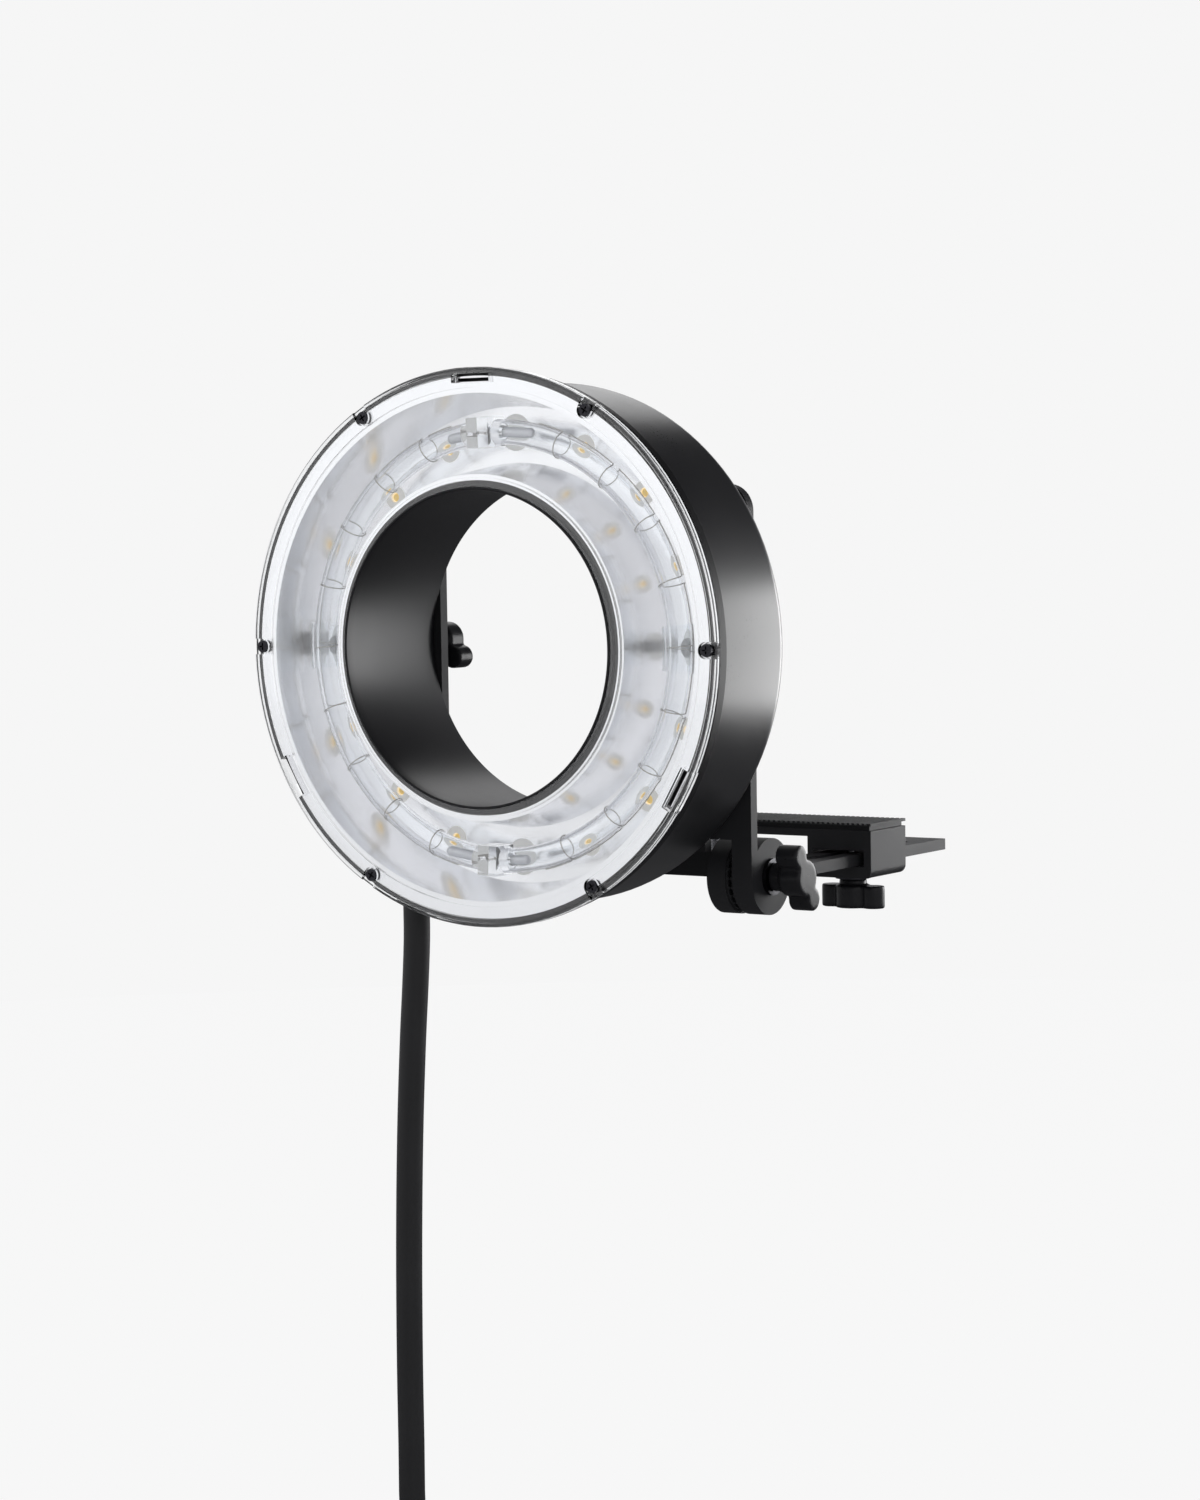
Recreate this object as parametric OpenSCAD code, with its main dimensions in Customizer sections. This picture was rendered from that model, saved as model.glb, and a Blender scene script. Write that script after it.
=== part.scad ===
// Ring flash head on a two-post tilting camera bracket.
// The origin is where the camera sits: on the camera screw's axis, level with the
// top of the rubber pad. +Z is up, the light faces -Y and the camera looks along -Y
// through the ring.

/* [Ring head] */
// How far the clear front cover stands out past the drum
cover_overhang = 4.2; // [3.6:0.1:6]
// Length of the head from the front window to the rear face
head_depth = 56.3; // [53:0.1:64]
// Outside radius of the black drum
drum_r = 88.3; // [87:0.1:89]
// Wall of the drum and of its rear flange
drum_wall = 2.2; // [1.6:0.1:2.6]
// Radius of the rounded rear edge of the drum
drum_round = 5.5; // [3:0.5:6]
// Inside radius of the barrel at its front edge
bore_front_r = 52.3; // [51:0.1:53]
// Inside radius of the barrel at its rear edge
bore_rear_r = 56.5; // [54:0.1:57]
// Wall of the barrel
barrel_wall = 1.2; // [0.9:0.1:1.4]
// Thickness of the clear window
window_t = 2; // [1.5:0.1:2.4]
// Number of cover screws
screw_count = 6; // [3:3:9]
// Head diameter of a cover screw
screw_head_d = 4.2; // [3.4:0.1:4.4]
// Length of an accessory slot along the rim
slot_len = 15; // [8:0.5:20]
// Length of the black front ring behind the cover, measured along the axis
bezel_len = 5.6; // [4:0.1:8]

/* [Light chamber] */
// Depth of the reflector floor behind the front window
floor_depth = 27.4; // [25:0.1:29]
// How far the reflector's inner wall leans outward on its way to the floor
inner_lean = 3.8; // [2:0.1:5]
// How far the reflector's outer wall leans inward on its way to the floor
outer_lean = 4; // [2:0.1:5]
// Sheet thickness of the reflector
sheet_t = 0.8; // [0.6:0.1:0.8]
// Diameter of the glass flash tube
tube_d = 8.4; // [7:0.1:9]
// Wall of the glass flash tube
tube_wall = 1; // [0.8:0.1:1.4]
// Depth of the tube's centre behind the front window
tube_depth = 14.9; // [12:0.1:16]
// Diameter of the four reflector holes behind the tube supports and tube ends
port_d = 12.4; // [12.4:0.1:13.4]
// Diameter of the lamp rings in the reflector
lamp_ring_d = 8; // [7:0.1:9]
// Diameter of the hole that each lamp shines through
lamp_hole_d = 3.3; // [3:0.1:4]
// Number of lamps between two neighbouring reflector holes
lamps_per_quarter = 3; // [1:1:4]
// Diameter of the trigger wire
trigger_wire_d = 0.4; // [0.3:0.1:0.5]
// Angle between two turns of the trigger wire
trigger_pitch = 17; // [14:1:22]

/* [Bracket] */
// Height of the ring axis above the camera pad
axis_h = 66; // [60:0.5:72]
// Distance from the camera screw forward to the front window
front_reach = 143; // [138:0.5:160]
// Width of the uprights and the slide arms
bar_w = 18; // [16:0.5:19]
// Thickness of the uprights and the slide arms
bar_t = 4; // [3:0.1:4.4]
// Travel of the ring up or down from the middle of the uprights
ring_travel = 40; // [30:1:41]
// Drop of the hinge axis below the top of the camera pad
hinge_drop = 13; // [12.6:0.1:15]
// Radius of the hinge lugs
lug_r = 13; // [12:0.1:13.2]
// Width of the upright's hinge lug
yoke_lug_w = 7.7; // [7:0.1:8]
// Width of the slide fork's hinge lug
fork_lug_w = 7; // [6:0.1:7.2]
// Number of teeth on each hinge lug
tooth_count = 24; // [12:1:30]
// Travel of the slide fork towards the camera
travel_in = 30; // [20:1:32]
// Travel of the slide fork away from the camera
travel_out = 35; // [20:1:40]
// Depth of the camera plate from front to back
plate_d = 26; // [24:0.5:32]
// Thickness of the rubber pad
pad_t = 1; // [0.9:0.1:1.4]
// Distance between two ribs of the rubber pad
rib_pitch = 2; // [1.5:0.1:3]
// Travel of the camera screw to either side in its slot
screw_travel = 15; // [5:1:25]

/* [Knobs and screws] */
// Length of a knob's wings from tip to tip
wing_len = 25.2; // [22:0.2:25.6]
// Width of a wing
wing_w = 8; // [6:0.2:9]
// Height of the wings along the screw
wing_h = 8; // [7:0.2:9]
// Diameter of the hub between the wings
hub_d = 12.6; // [11:0.2:13]
// Diameter of the neck below the wings
neck_d = 9.8; // [8:0.2:10.4]
// Length of the neck on a hinge knob and a ring knob
long_neck = 4.8; // [3:0.1:5]
// Length of the neck on a clamp knob
short_neck = 2.3; // [1.5:0.1:4]
// Diameter of the knob screws
stud_d = 5; // [4:0.1:5]
// Diameter of the camera screw's thread
camera_screw_d = 6.35; // [6.35:0.1:7]
// Length of the camera screw above the pad
camera_screw_len = 5; // [4:0.5:6]

/* [Cord] */
// Diameter of the cord
cord_d = 9.2; // [7:0.1:9.4]
// Radius of the coil's outer turn, to the middle of the cord
coil_r = 60; // [55:1:70]
// Whole turns in the coil
coil_turns = 5; // [4:1:6]

/* [Hidden] */

$fn = 96;
black = "#222326";
graphite = "#2c2d30";
clear = [0.86, 0.89, 0.92, 0.35];

// Clearances: between bodies that move apart, between fastened pieces, and round a screw.
gap = 0.3;
seat = 0.1;
run = 0.05;

// Depths are measured back from the front window, and radii from the ring axis.
// The reflector's lip lies level with the back of the clear rim.
flange_face = window_t + 0.6;
rim_t = flange_face + sheet_t;
bezel_front = rim_t + seat;
bezel_rear = bezel_front + bezel_len;
cover_r = drum_r + cover_overhang;
bezel_r = cover_r - 0.7;
spigot_len = 5;
spigot_t = 1.1;
spigot_out_r = drum_r - drum_wall - seat;
spigot_in_r = spigot_out_r - spigot_t;
screw_circle_r = (spigot_out_r + bezel_r) / 2;
screw_shank_d = 2.4;
screw_pocket = 1.6;
slot_w = 3.2;
slit_w = 1.2;
rim_round = 1.2;
groove_r = cover_r - 1.9;
groove_w = 0.4;
slot_angles = [90, 210, 330];

drum_rear = head_depth - 2.3;
flange_front = drum_rear - drum_wall;
land_r = drum_r - 9.3;
rear_flange_r = spigot_out_r - 1.5;
rear_flange_front = flange_front - 2.1;
rear_flange_flat_r = min(rear_flange_r, drum_r - drum_round) - seat;
rear_flange_bevel = 1.5;
rear_screw_r = (land_r + rear_flange_r) / 2 + 0.5;
rear_screw_angles = [30:60:330];
rear_skin = 2.4;

// The barrel's front sleeve, and the ledge that carries the reflector.
sleeve_r = bore_front_r + 0.9;
sleeve_front = -0.5;
cover_in_r = sleeve_r + seat;
ledge_r = sleeve_r + 2.1;
ledge_front = flange_face + sheet_t + seat;
ledge_t = 2;
hub_r = bore_rear_r + barrel_wall + seat;

// The reflector's radii at its front and at its floor, and the circle of the lights.
wall_in_r = ledge_r + 2.1;
wall_out_r = spigot_in_r - sheet_t - seat;
flange_out_r = bezel_r - 2.2;
floor_in_r = wall_in_r + inner_lean;
floor_out_r = wall_out_r - outer_lean;
light_r = (floor_in_r + floor_out_r) / 2 + 0.7;
lamp_step = 90 / (lamps_per_quarter + 1);
lamp_angles = [
    for (quarter = [0:3], i = [1:lamps_per_quarter]) quarter * 90 + i * lamp_step
];
port_angles = [0, 90, 180, 270];
tube_top_angle = 89.2;
tube_low_angle = 88.8;
joiner_top_angle = 6.8;
joiner_low_angle = 5.5;
tube_seal = 2.4;
electrode_d = 3.4;
lead_d = 1;
lead_x = 1.9;
clip_sweep = 12;
clip_t = 1;
clip_room = 0.6;
clip_d = tube_d + 2 * clip_room + 2 * clip_t;
trigger_span = 154;

board_t = 1.6;
board_front = floor_depth + 3;
board_rear = board_front + board_t;
board_in_r = floor_in_r - 2;
board_out_r = floor_out_r + 3;
post_d = 6;
post_hole_d = 2.5;
post_r = (light_r + floor_out_r) / 2 + 1.8;
post_angles = [for (quarter = [0:3]) quarter * 90 + 1.5 * lamp_step];
insert_d = 7.4;
insert_len = 12;

// How far the barrel's inside has opened at a given depth.
function bore_r(depth) = bore_front_r + (bore_rear_r - bore_front_r) * depth / head_depth;

// Bracket places in the part's own frame.
ring_y = -front_reach;
rear_face_y = ring_y + head_depth;
upright_x = hub_r + 4.9;
upright_top = ring_travel + bar_w / 2 + 4;
yoke_y = rear_face_y + gap;
yoke_top = axis_h + upright_top;
hinge_y = yoke_y + lug_r;
hinge_z = -hinge_drop;
lug_out_x = upright_x + bar_w / 2;
yoke_lug_x = lug_out_x - yoke_lug_w;
fork_lug_x = upright_x - bar_w / 2 + 0.4;
fork_lug_out_x = fork_lug_x + fork_lug_w;
tooth_gap = 0.5;
tooth_h = (yoke_lug_x - fork_lug_out_x - tooth_gap) / 2;
tooth_w = 0.9;
neck_z = hinge_z + lug_r + 0.2;
crossbar_low_z = neck_z - 4.5;
crossbar_h = 12.8;
fork_bar_y = hinge_y + 7.3;
fork_bar_t = 6;
fork_bar_top = hinge_z + 6.8;
arm_low_z = hinge_z - bar_t / 2;
arm_front_y = hinge_y + lug_r + 0.5;
slot_spare = 0.7;
arm_rear_y = travel_out + 19;
stud_clear_d = stud_d + 2 * gap;

plate_top_z = -pad_t - 1.6;
deck_low_z = plate_top_z - 2.6;
channel_in_x = upright_x - bar_w / 2 - gap;
channel_out_x = upright_x + bar_w / 2 + 2.4;
channel_low_z = arm_low_z - gap;
channel_top_z = hinge_z + bar_t / 2 + 1.3;
plate_low_z = channel_low_z - 4.2;
block_in_x = channel_in_x - 1.9;
plate_half_w = channel_out_x + 2.9;
plate_round = 3;
pad_overhang = 1;
camera_shank_d = camera_screw_d - 1.6;
camera_slot_w = camera_shank_d + 2 * gap;
pad_slot_w = camera_screw_d + 1.6;
screw_washer_t = 0.8;
screw_head_top = deck_low_z - screw_washer_t - 2 * seat;
screw_head_h = 7;
grip_d = 18;

washer_t = 1.2;
washer_d = hub_d;
knob_foot = washer_t + 2 * seat;
thread_reach = 8;
thread_top = channel_top_z + 3.2;

// The cord's route from its strain relief to the coil, and from the coil to the plug.
exit_x = -46.5;
exit_y = -114;
exit_z = -24;
route = [
    [-46.5, -114, -24], [-46.6, -114, -36], [-47.6, -114, -52], [-49, -114, -70],
    [-50.6, -114, -96], [-51.8, -114, -124], [-52.6, -114, -154], [-53, -114, -186],
    [-53, -114, -214], [-53, -114, -238], [-51, -114, -252], [-43, -114, -268],
    [-33, -114, -278], [-25, -114, -284]
];
tail = [[7, -84.3, -348], [7, -84.3, -360], [7, -84.3, -372], [7, -84.3, -384]];
relief_len = 16.2;
relief_d = cord_d + 4.8;
boss_d = 19;
boss_drop = 10;

// The coil hangs under the cord. It starts where the cord leans 3 down to 4 across.
coil_centre = [-53, -114, -338];
coil_lead = 10;
coil_start = atan(4 / 3);
coil_layers = 4;
coil_pitch = cord_d + 0.7;
coil_total = coil_turns + coil_start / 360;
layer_turns = coil_total / coil_layers;
coil_in_r = coil_r - layer_turns * coil_pitch;
rings_per_turn = 24;
tie_angle = 150;
plug_top = [7, -84.3, -384];
boot_len = 18;
plug_size = [46, 28, 40];

// Puts ring parts at the ring's centre, with their depth along +Y.
module ring_frame() {
    translate([0, ring_y, axis_h]) children();
}

// Turns a profile of [radius, depth] points about the ring axis.
module turned(points, start = 0, sweep = 360, sides = 180) {
    ring_frame()
        rotate([-90, 0, 0])
            rotate([0, 0, -start])
                rotate_extrude(angle = -sweep, $fn = sides) polygon(points);
}

// Moves a piece to an angle on the ring, counted anticlockwise from +X seen from the front.
module at_angle(angle) {
    rotate([0, -angle, 0]) children();
}

// A round pin or hole along the ring's axis, from one depth to another.
module axial(angle, radius, from, to, d, sides = 48) {
    ring_frame()
        at_angle(angle)
            translate([radius, from, 0])
                rotate([-90, 0, 0]) cylinder(h = to - from, d = d, $fn = sides);
}

// A stretch of the tube's circle: a round bar bent about the ring axis.
module bent_bar(start, sweep, d, sides = 40) {
    ring_frame()
        rotate([-90, 0, 0])
            rotate([0, 0, -start])
                rotate_extrude(angle = -sweep, $fn = 180)
                    translate([light_r, tube_depth]) circle(d = d, $fn = sides);
}

// Makes a tube skin over rings of points, closed at both ends.
module skin(rings, sides) {
    count = len(rings);
    points = [for (ring = rings) each ring];
    sides_list = [
        for (i = [0:count - 2], j = [0:sides - 1])
            let (k = (j + 1) % sides, a = i * sides, b = (i + 1) * sides)
                each [[a + j, b + j, b + k], [a + j, b + k, a + k]]
    ];
    start_cap = [for (j = [1:sides - 2]) [0, j, j + 1]];
    last = (count - 1) * sides;
    end_cap = [for (j = [1:sides - 2]) [last, last + j + 1, last + j]];
    polyhedron(points = points, faces = concat(sides_list, start_cap, end_cap), convexity = 10);
}

// The ring of points round one point of a path, square to the path there.
function ring_at(p, along, across, r, sides) =
    let (t = along / norm(along), n0 = across - (across * t) * t, n = n0 / norm(n0),
        b = cross(t, n))
        [for (j = [0:sides - 1]) p + r * (cos(360 * j / sides) * n + sin(360 * j / sides) * b)];

// The rings along a whole path. Its first and last rings are square to the end directions.
function rings_along(path, across, r, sides) =
    [
        for (i = [0:len(path) - 1])
            let (before = path[max(i - 1, 0)], after = path[min(i + 1, len(path) - 1)])
                ring_at(path[i], after - before, across, r, sides)
    ];

module front_cover() {
    notch = screw_head_d + 1.2;
    recess_r = wall_out_r + 1.8;
    seat_r = flange_out_r + gap;
    outer_edge = [
        for (a = [0:15:90])
            [cover_r - rim_round * (1 - sin(a)), rim_round * (1 - cos(a))]
    ];
    color(clear)
    difference() {
        turned(concat(
            [
                [cover_in_r, 0], [groove_r, 0], [groove_r, groove_w],
                [groove_r + groove_w, groove_w], [groove_r + groove_w, 0]
            ],
            outer_edge,
            [
                [cover_r, rim_t], [seat_r, rim_t], [seat_r, flange_face - seat],
                [recess_r, flange_face - seat], [recess_r, window_t], [ledge_r + 1, window_t],
                [ledge_r + 1, flange_face - seat], [cover_in_r, flange_face - seat]
            ]
        ));
        for (i = [0:screw_count - 1]) {
            angle = i * 360 / screw_count;
            axial(angle, screw_circle_r, -1, screw_pocket, notch);
            axial(angle, screw_circle_r, -1, rim_t + 1, screw_shank_d + 0.5);
            ring_frame()
                at_angle(angle)
                    translate([screw_circle_r, -1, -notch / 2])
                        cube([cover_r, 1 + screw_pocket, notch]);
        }
        for (angle = slot_angles)
            ring_frame()
                at_angle(angle)
                    translate([screw_circle_r - slot_w / 2, -1, -slot_len / 2])
                        cube([slot_w, rim_t + 2, slot_len]);
    }
}

module cover_screws() {
    head_top = 0.3;
    color(black)
    for (i = [0:screw_count - 1]) {
        angle = i * 360 / screw_count;
        difference() {
            union() {
                axial(angle, screw_circle_r, head_top, screw_pocket, screw_head_d);
                axial(angle, screw_circle_r, screw_pocket - 0.1, bezel_rear - 1, screw_shank_d);
            }
            cross_recess(angle, screw_circle_r, head_top, 2.6);
        }
    }
}

// The cross in a screw's head, sunk into the face at a given depth.
module cross_recess(angle, radius, depth, span) {
    for (turn = [0, 90])
        ring_frame()
            at_angle(angle)
                translate([radius, depth, 0])
                    rotate([0, turn, 0]) cube([span, 1.8, span / 4.5], center = true);
}

module front_bezel() {
    rim = 0.8;
    color(black)
    difference() {
        turned([
            [spigot_in_r, bezel_front], [bezel_r, bezel_front], [bezel_r, bezel_rear - 0.5],
            [bezel_r - 0.5, bezel_rear], [spigot_out_r, bezel_rear],
            [spigot_out_r, bezel_rear + spigot_len], [spigot_in_r, bezel_rear + spigot_len]
        ]);
        for (i = [0:screw_count - 1])
            axial(
                i * 360 / screw_count, screw_circle_r, bezel_front - 1, bezel_rear - 0.8,
                screw_shank_d + 2 * run
            );
        for (angle = slot_angles)
            ring_frame()
                at_angle(angle)
                    translate([screw_circle_r - slot_w / 2 + rim, bezel_front - 1, -slot_len / 2 + rim])
                        cube([slot_w - 2 * rim, 4, slot_len - 2 * rim]);
    }
}

module outer_drum() {
    wall_r = drum_r - drum_wall;
    centre_r = drum_r - drum_round;
    centre_depth = drum_rear - drum_round;
    inner_round = drum_round - drum_wall;
    edge = [
        for (a = [0:15:90])
            [centre_r + drum_round * cos(a), centre_depth + drum_round * sin(a)]
    ];
    inside_edge = [
        for (a = [90:-15:0])
            [centre_r + inner_round * cos(a), centre_depth + inner_round * sin(a)]
    ];
    color(graphite)
    difference() {
        union() {
            turned(concat(
                [[wall_r, bezel_rear + seat], [drum_r, bezel_rear + seat]],
                edge,
                [[land_r + 2 * seat, drum_rear], [land_r + 2 * seat, flange_front]],
                inside_edge
            ));
            difference() {
                translate([exit_x, exit_y, exit_z + boss_drop])
                    cylinder(h = relief_len + 1, d = boss_d, $fn = 64);
                turned([[0, -1], [wall_r, -1], [wall_r, head_depth], [0, head_depth]]);
            }
        }
        translate([exit_x, exit_y, exit_z]) cylinder(h = 2 * relief_len, d = relief_d + 2 * seat, $fn = 64);
        for (angle = rear_screw_angles) {
            axial(angle, rear_screw_r, flange_front - 1, drum_rear + 1, screw_shank_d + 1);
            axial(angle, rear_screw_r, drum_rear - 1.2, drum_rear + 1, screw_head_d + 1.8);
        }
    }
}

module inner_barrel() {
    ledge_rear = ledge_front + ledge_t;
    color(graphite)
    turned([
        [bore_front_r, sleeve_front], [sleeve_r, sleeve_front], [sleeve_r, ledge_front],
        [ledge_r, ledge_front], [ledge_r, ledge_rear], [bore_r(ledge_rear) + barrel_wall, ledge_rear],
        [bore_rear_r + barrel_wall, head_depth], [bore_rear_r, head_depth],
        [bore_front_r, ledge_front]
    ]);
}

module rear_cover() {
    wall = 4;
    boss_half_angle = 12;
    well = post_d + 3;
    color(black) {
        difference() {
            union() {
                turned([
                    [hub_r, rear_flange_front], [rear_flange_r, rear_flange_front],
                    [rear_flange_r, flange_front - rear_flange_bevel],
                    [rear_flange_flat_r, flange_front - seat], [land_r, flange_front - seat],
                    [land_r, head_depth - 0.5], [land_r - 0.5, head_depth], [hub_r, head_depth]
                ]);
                for (angle = post_angles)
                    axial(angle, post_r, board_rear + seat, rear_flange_front + 1, post_d);
                for (angle = [0, 180])
                    axial(angle, upright_x, head_depth - insert_len - 2, head_depth - 1, insert_d + 3.4);
            }
            for (start = [boss_half_angle, 180 + boss_half_angle])
                turned([
                    [hub_r + wall, rear_flange_front - 1], [land_r - wall, rear_flange_front - 1],
                    [land_r - wall, head_depth - rear_skin], [hub_r + wall, head_depth - rear_skin]
                ], start, 180 - 2 * boss_half_angle);
            turned([[0, board_front], [hub_r, board_front], [hub_r, head_depth + 1], [0, head_depth + 1]]);
            for (angle = [0, 180])
                axial(angle, upright_x, head_depth - insert_len, head_depth + 1, insert_d + 2 * run);
            for (angle = post_angles)
                axial(angle, post_r, board_rear - 1, board_rear + well, post_hole_d);
            for (angle = rear_screw_angles)
                axial(angle, rear_screw_r, rear_flange_front - 1, head_depth, screw_shank_d + 2 * run);
        }
        for (angle = post_angles)
            difference() {
                intersection() {
                    axial(angle, post_r, rear_flange_front - 0.5, head_depth - rear_skin + 0.5, post_d);
                    turned([
                        [0, rear_flange_front - 1], [land_r - seat, rear_flange_front - 1],
                        [land_r - seat, head_depth], [0, head_depth]
                    ]);
                }
                axial(angle, post_r, board_rear - 1, board_rear + well, post_hole_d);
            }
    }
}

module rear_cover_screws() {
    head_top = drum_rear + 0.7;
    color("#3a3b3e")
    for (angle = rear_screw_angles)
        difference() {
            union() {
                axial(angle, rear_screw_r, drum_rear - 1.1, head_top, screw_head_d + 1.2);
                axial(angle, rear_screw_r, rear_flange_front + 0.2, drum_rear - 1, screw_shank_d);
            }
            cross_recess(angle, rear_screw_r, head_top, 3.2);
        }
}

module reflector() {
    back = floor_depth + sheet_t;
    lip_rear = flange_face + sheet_t;
    color("#dfe1e4")
    difference() {
        turned([
            [ledge_r + seat, flange_face], [wall_in_r, flange_face], [floor_in_r, floor_depth],
            [floor_out_r, floor_depth], [wall_out_r, flange_face],
            [flange_out_r, flange_face], [flange_out_r, lip_rear],
            [wall_out_r + sheet_t, lip_rear], [floor_out_r + sheet_t, back],
            [floor_in_r - sheet_t, back], [wall_in_r - sheet_t, lip_rear], [ledge_r + seat, lip_rear]
        ]);
        for (angle = port_angles)
            axial(angle, light_r, floor_depth - 1, back + 1, port_d);
        for (angle = lamp_angles)
            axial(angle, light_r, floor_depth - 1, back + 1, lamp_ring_d + 2 * seat);
        for (i = [0:screw_count - 1])
            axial(i * 360 / screw_count, screw_circle_r, 0, lip_rear + 1, screw_shank_d + 0.5);
        for (angle = slot_angles)
            ring_frame()
                at_angle(angle)
                    translate([screw_circle_r - slit_w, 0, 1 - slot_len / 2])
                        cube([slit_w, lip_rear + 1, slot_len - 2]);
    }
}

// One glass tube with sealed ends, hollow inside.
module flash_tube(start, sweep) {
    color([0.9, 0.94, 0.97, 0.3])
    difference() {
        bent_bar(start, sweep, tube_d);
        bent_bar(start + tube_seal, sweep - 2 * tube_seal, tube_d - 2 * tube_wall);
    }
}

module flash_tube_right() {
    flash_tube(-tube_low_angle, tube_low_angle + tube_top_angle);
}

module flash_tube_left() {
    flash_tube(90 + joiner_top_angle, 180 - joiner_top_angle - joiner_low_angle);
}

// Places a piece on the tube's circle at an angle, with +Z pointing anticlockwise.
module on_tube(angle) {
    ring_frame()
        at_angle(angle)
            translate([light_r, tube_depth, 0]) children();
}

// A round-nosed electrode that reaches into the tube from its sealed end.
module electrode(angle, up, reach) {
    on_tube(angle)
        rotate([up ? 0 : 180, 0, 0])
            union() {
                cylinder(h = reach - electrode_d / 2, d = electrode_d, $fn = 32);
                translate([0, 0, reach - electrode_d / 2]) sphere(d = electrode_d, $fn = 32);
            }
}

module electrodes() {
    inset = tube_seal + 0.2;
    color("#9b9ca0") {
        electrode(tube_top_angle - inset, false, 12);
        electrode(-tube_low_angle + inset, true, 7);
        electrode(90 + joiner_top_angle + inset, true, 7);
        electrode(270 - joiner_low_angle - inset, false, 12);
    }
}

// A clear block between two tube ends, with a hole for each lead.
module joiner(from, to) {
    size = tube_d + 1.6;
    span = (to - from) * light_r * PI / 180 - 3 * gap;
    difference() {
        on_tube((from + to) / 2)
            translate([-size / 2, -size / 2, -span / 2]) cube([size, size, span]);
        on_tube((from + to) / 2)
            for (z = [-lead_x, lead_x])
                translate([0, 0, z]) rotate([-90, 0, 0]) cylinder(h = size, d = lead_d + 0.2, $fn = 24);
    }
}

module tube_joiners() {
    color([0.9, 0.92, 0.95, 0.4]) {
        joiner(tube_top_angle, 90 + joiner_top_angle);
        joiner(270 - joiner_low_angle, 360 - tube_low_angle);
    }
}

module tube_leads() {
    start = 0.5;
    color("#b9babd")
    for (middle = [
        (tube_top_angle + 90 + joiner_top_angle) / 2,
        (630 - joiner_low_angle - tube_low_angle) / 2
    ])
        on_tube(middle)
            for (z = [-lead_x, lead_x])
                translate([0, start, z])
                    rotate([-90, 0, 0])
                        cylinder(h = board_front - tube_depth - start, d = lead_d, $fn = 24);
}

module tube_clips() {
    color([0.88, 0.91, 0.94, 0.4])
    for (middle = [0, 180])
        difference() {
            bent_bar(middle - clip_sweep / 2, clip_sweep, clip_d);
            bent_bar(middle - clip_sweep / 2 - 1, clip_sweep + 2, clip_d - 2 * clip_t);
        }
}

module tube_legs() {
    leg_d = port_d / 2 + 0.2;
    color("#c9cacd")
    for (angle = [0, 180])
        difference() {
            axial(angle, light_r, tube_depth + tube_d / 2, board_front, leg_d);
            bent_bar(angle - clip_sweep, 2 * clip_sweep, clip_d + 2 * seat);
        }
}

// The path of the trigger wire along the tube, one turn every trigger_pitch degrees.
function wire_point(start, t) =
    let (angle = start + t * trigger_pitch, turn = 360 * t, r = (tube_d + trigger_wire_d) / 2 + 0.05,
        radius = light_r + r * cos(turn), depth = tube_depth + r * sin(turn))
        [radius * cos(angle), ring_y + depth, axis_h + radius * sin(angle)];

module trigger_wire(start, turns) {
    path = [for (i = [0:round(turns * rings_per_turn)]) wire_point(start, i / rings_per_turn)];
    rings = [
        for (i = [0:len(path) - 1])
            let (before = path[max(i - 1, 0)], after = path[min(i + 1, len(path) - 1)],
                angle = start + i / rings_per_turn * trigger_pitch,
                middle = [light_r * cos(angle), ring_y + tube_depth, axis_h + light_r * sin(angle)])
                ring_at(path[i], after - before, path[i] - middle, trigger_wire_d / 2, 6)
    ];
    gaps = [
        for (i = [0:4:len(path) - 1], j = [i + rings_per_turn / 2:2:len(path) - 1])
            norm(path[i] - path[j]) - trigger_wire_d
    ];
    echo(str("least gap between turns of the trigger wire: ", min(gaps), " mm"));
    color("#8d8a84") skin(rings, 6);
}

module trigger_wire_right() {
    turns = floor(trigger_span / trigger_pitch);
    trigger_wire(-turns * trigger_pitch / 2, turns);
}

module trigger_wire_left() {
    turns = floor(trigger_span / trigger_pitch);
    trigger_wire(180 - turns * trigger_pitch / 2, turns);
}

module lamp_board() {
    color("#e8e9ea")
    difference() {
        turned([
            [board_in_r, board_front], [board_out_r, board_front],
            [board_out_r, board_rear], [board_in_r, board_rear]
        ]);
        for (angle = post_angles)
            axial(angle, post_r, board_front - 1, board_rear + 1, screw_shank_d + 0.8);
    }
}

module lamps() {
    color("#e9b93a")
    for (angle = lamp_angles)
        axial(angle, light_r, floor_depth + 0.4, board_front, lamp_hole_d - 0.5, 32);
}

module lamp_rings() {
    color([0.8, 0.81, 0.83, 0.8])
    for (angle = lamp_angles)
        difference() {
            axial(angle, light_r, floor_depth - 0.2, board_front, lamp_ring_d);
            axial(angle, light_r, floor_depth - 1, board_front + 1, lamp_hole_d, 32);
        }
}

module board_screws() {
    color("#b7b8ba")
    for (angle = post_angles) {
        axial(angle, post_r, board_front - 1.7, board_front, screw_head_d + 0.6);
        axial(angle, post_r, board_front - 0.1, board_rear + 8, screw_shank_d);
    }
}

module trigger_transformer() {
    size = [11, 12, 22];
    groove = 1.6;
    color("#5b3f2a")
    ring_frame()
        at_angle(62)
            translate([light_r - size.x / 2, board_rear + seat, -size.z / 2])
                difference() {
                    cube(size);
                    translate([-1, 2.2, 4]) cube([size.x + 2, size.y, groove]);
                }
}

module terminal_block() {
    size = [10, 9, 30];
    ways = 5;
    way = size.z / ways;
    color("#4f6b50")
    ring_frame()
        at_angle(238)
            translate([light_r - size.x / 2, board_rear + seat, -size.z / 2])
                difference() {
                    cube(size);
                    for (i = [0:ways - 1])
                        translate([size.x / 2, 4, (i + 0.5) * way])
                            rotate([-90, 0, 0]) cylinder(h = size.y, d = 3.4, $fn = 24);
                }
}

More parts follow.
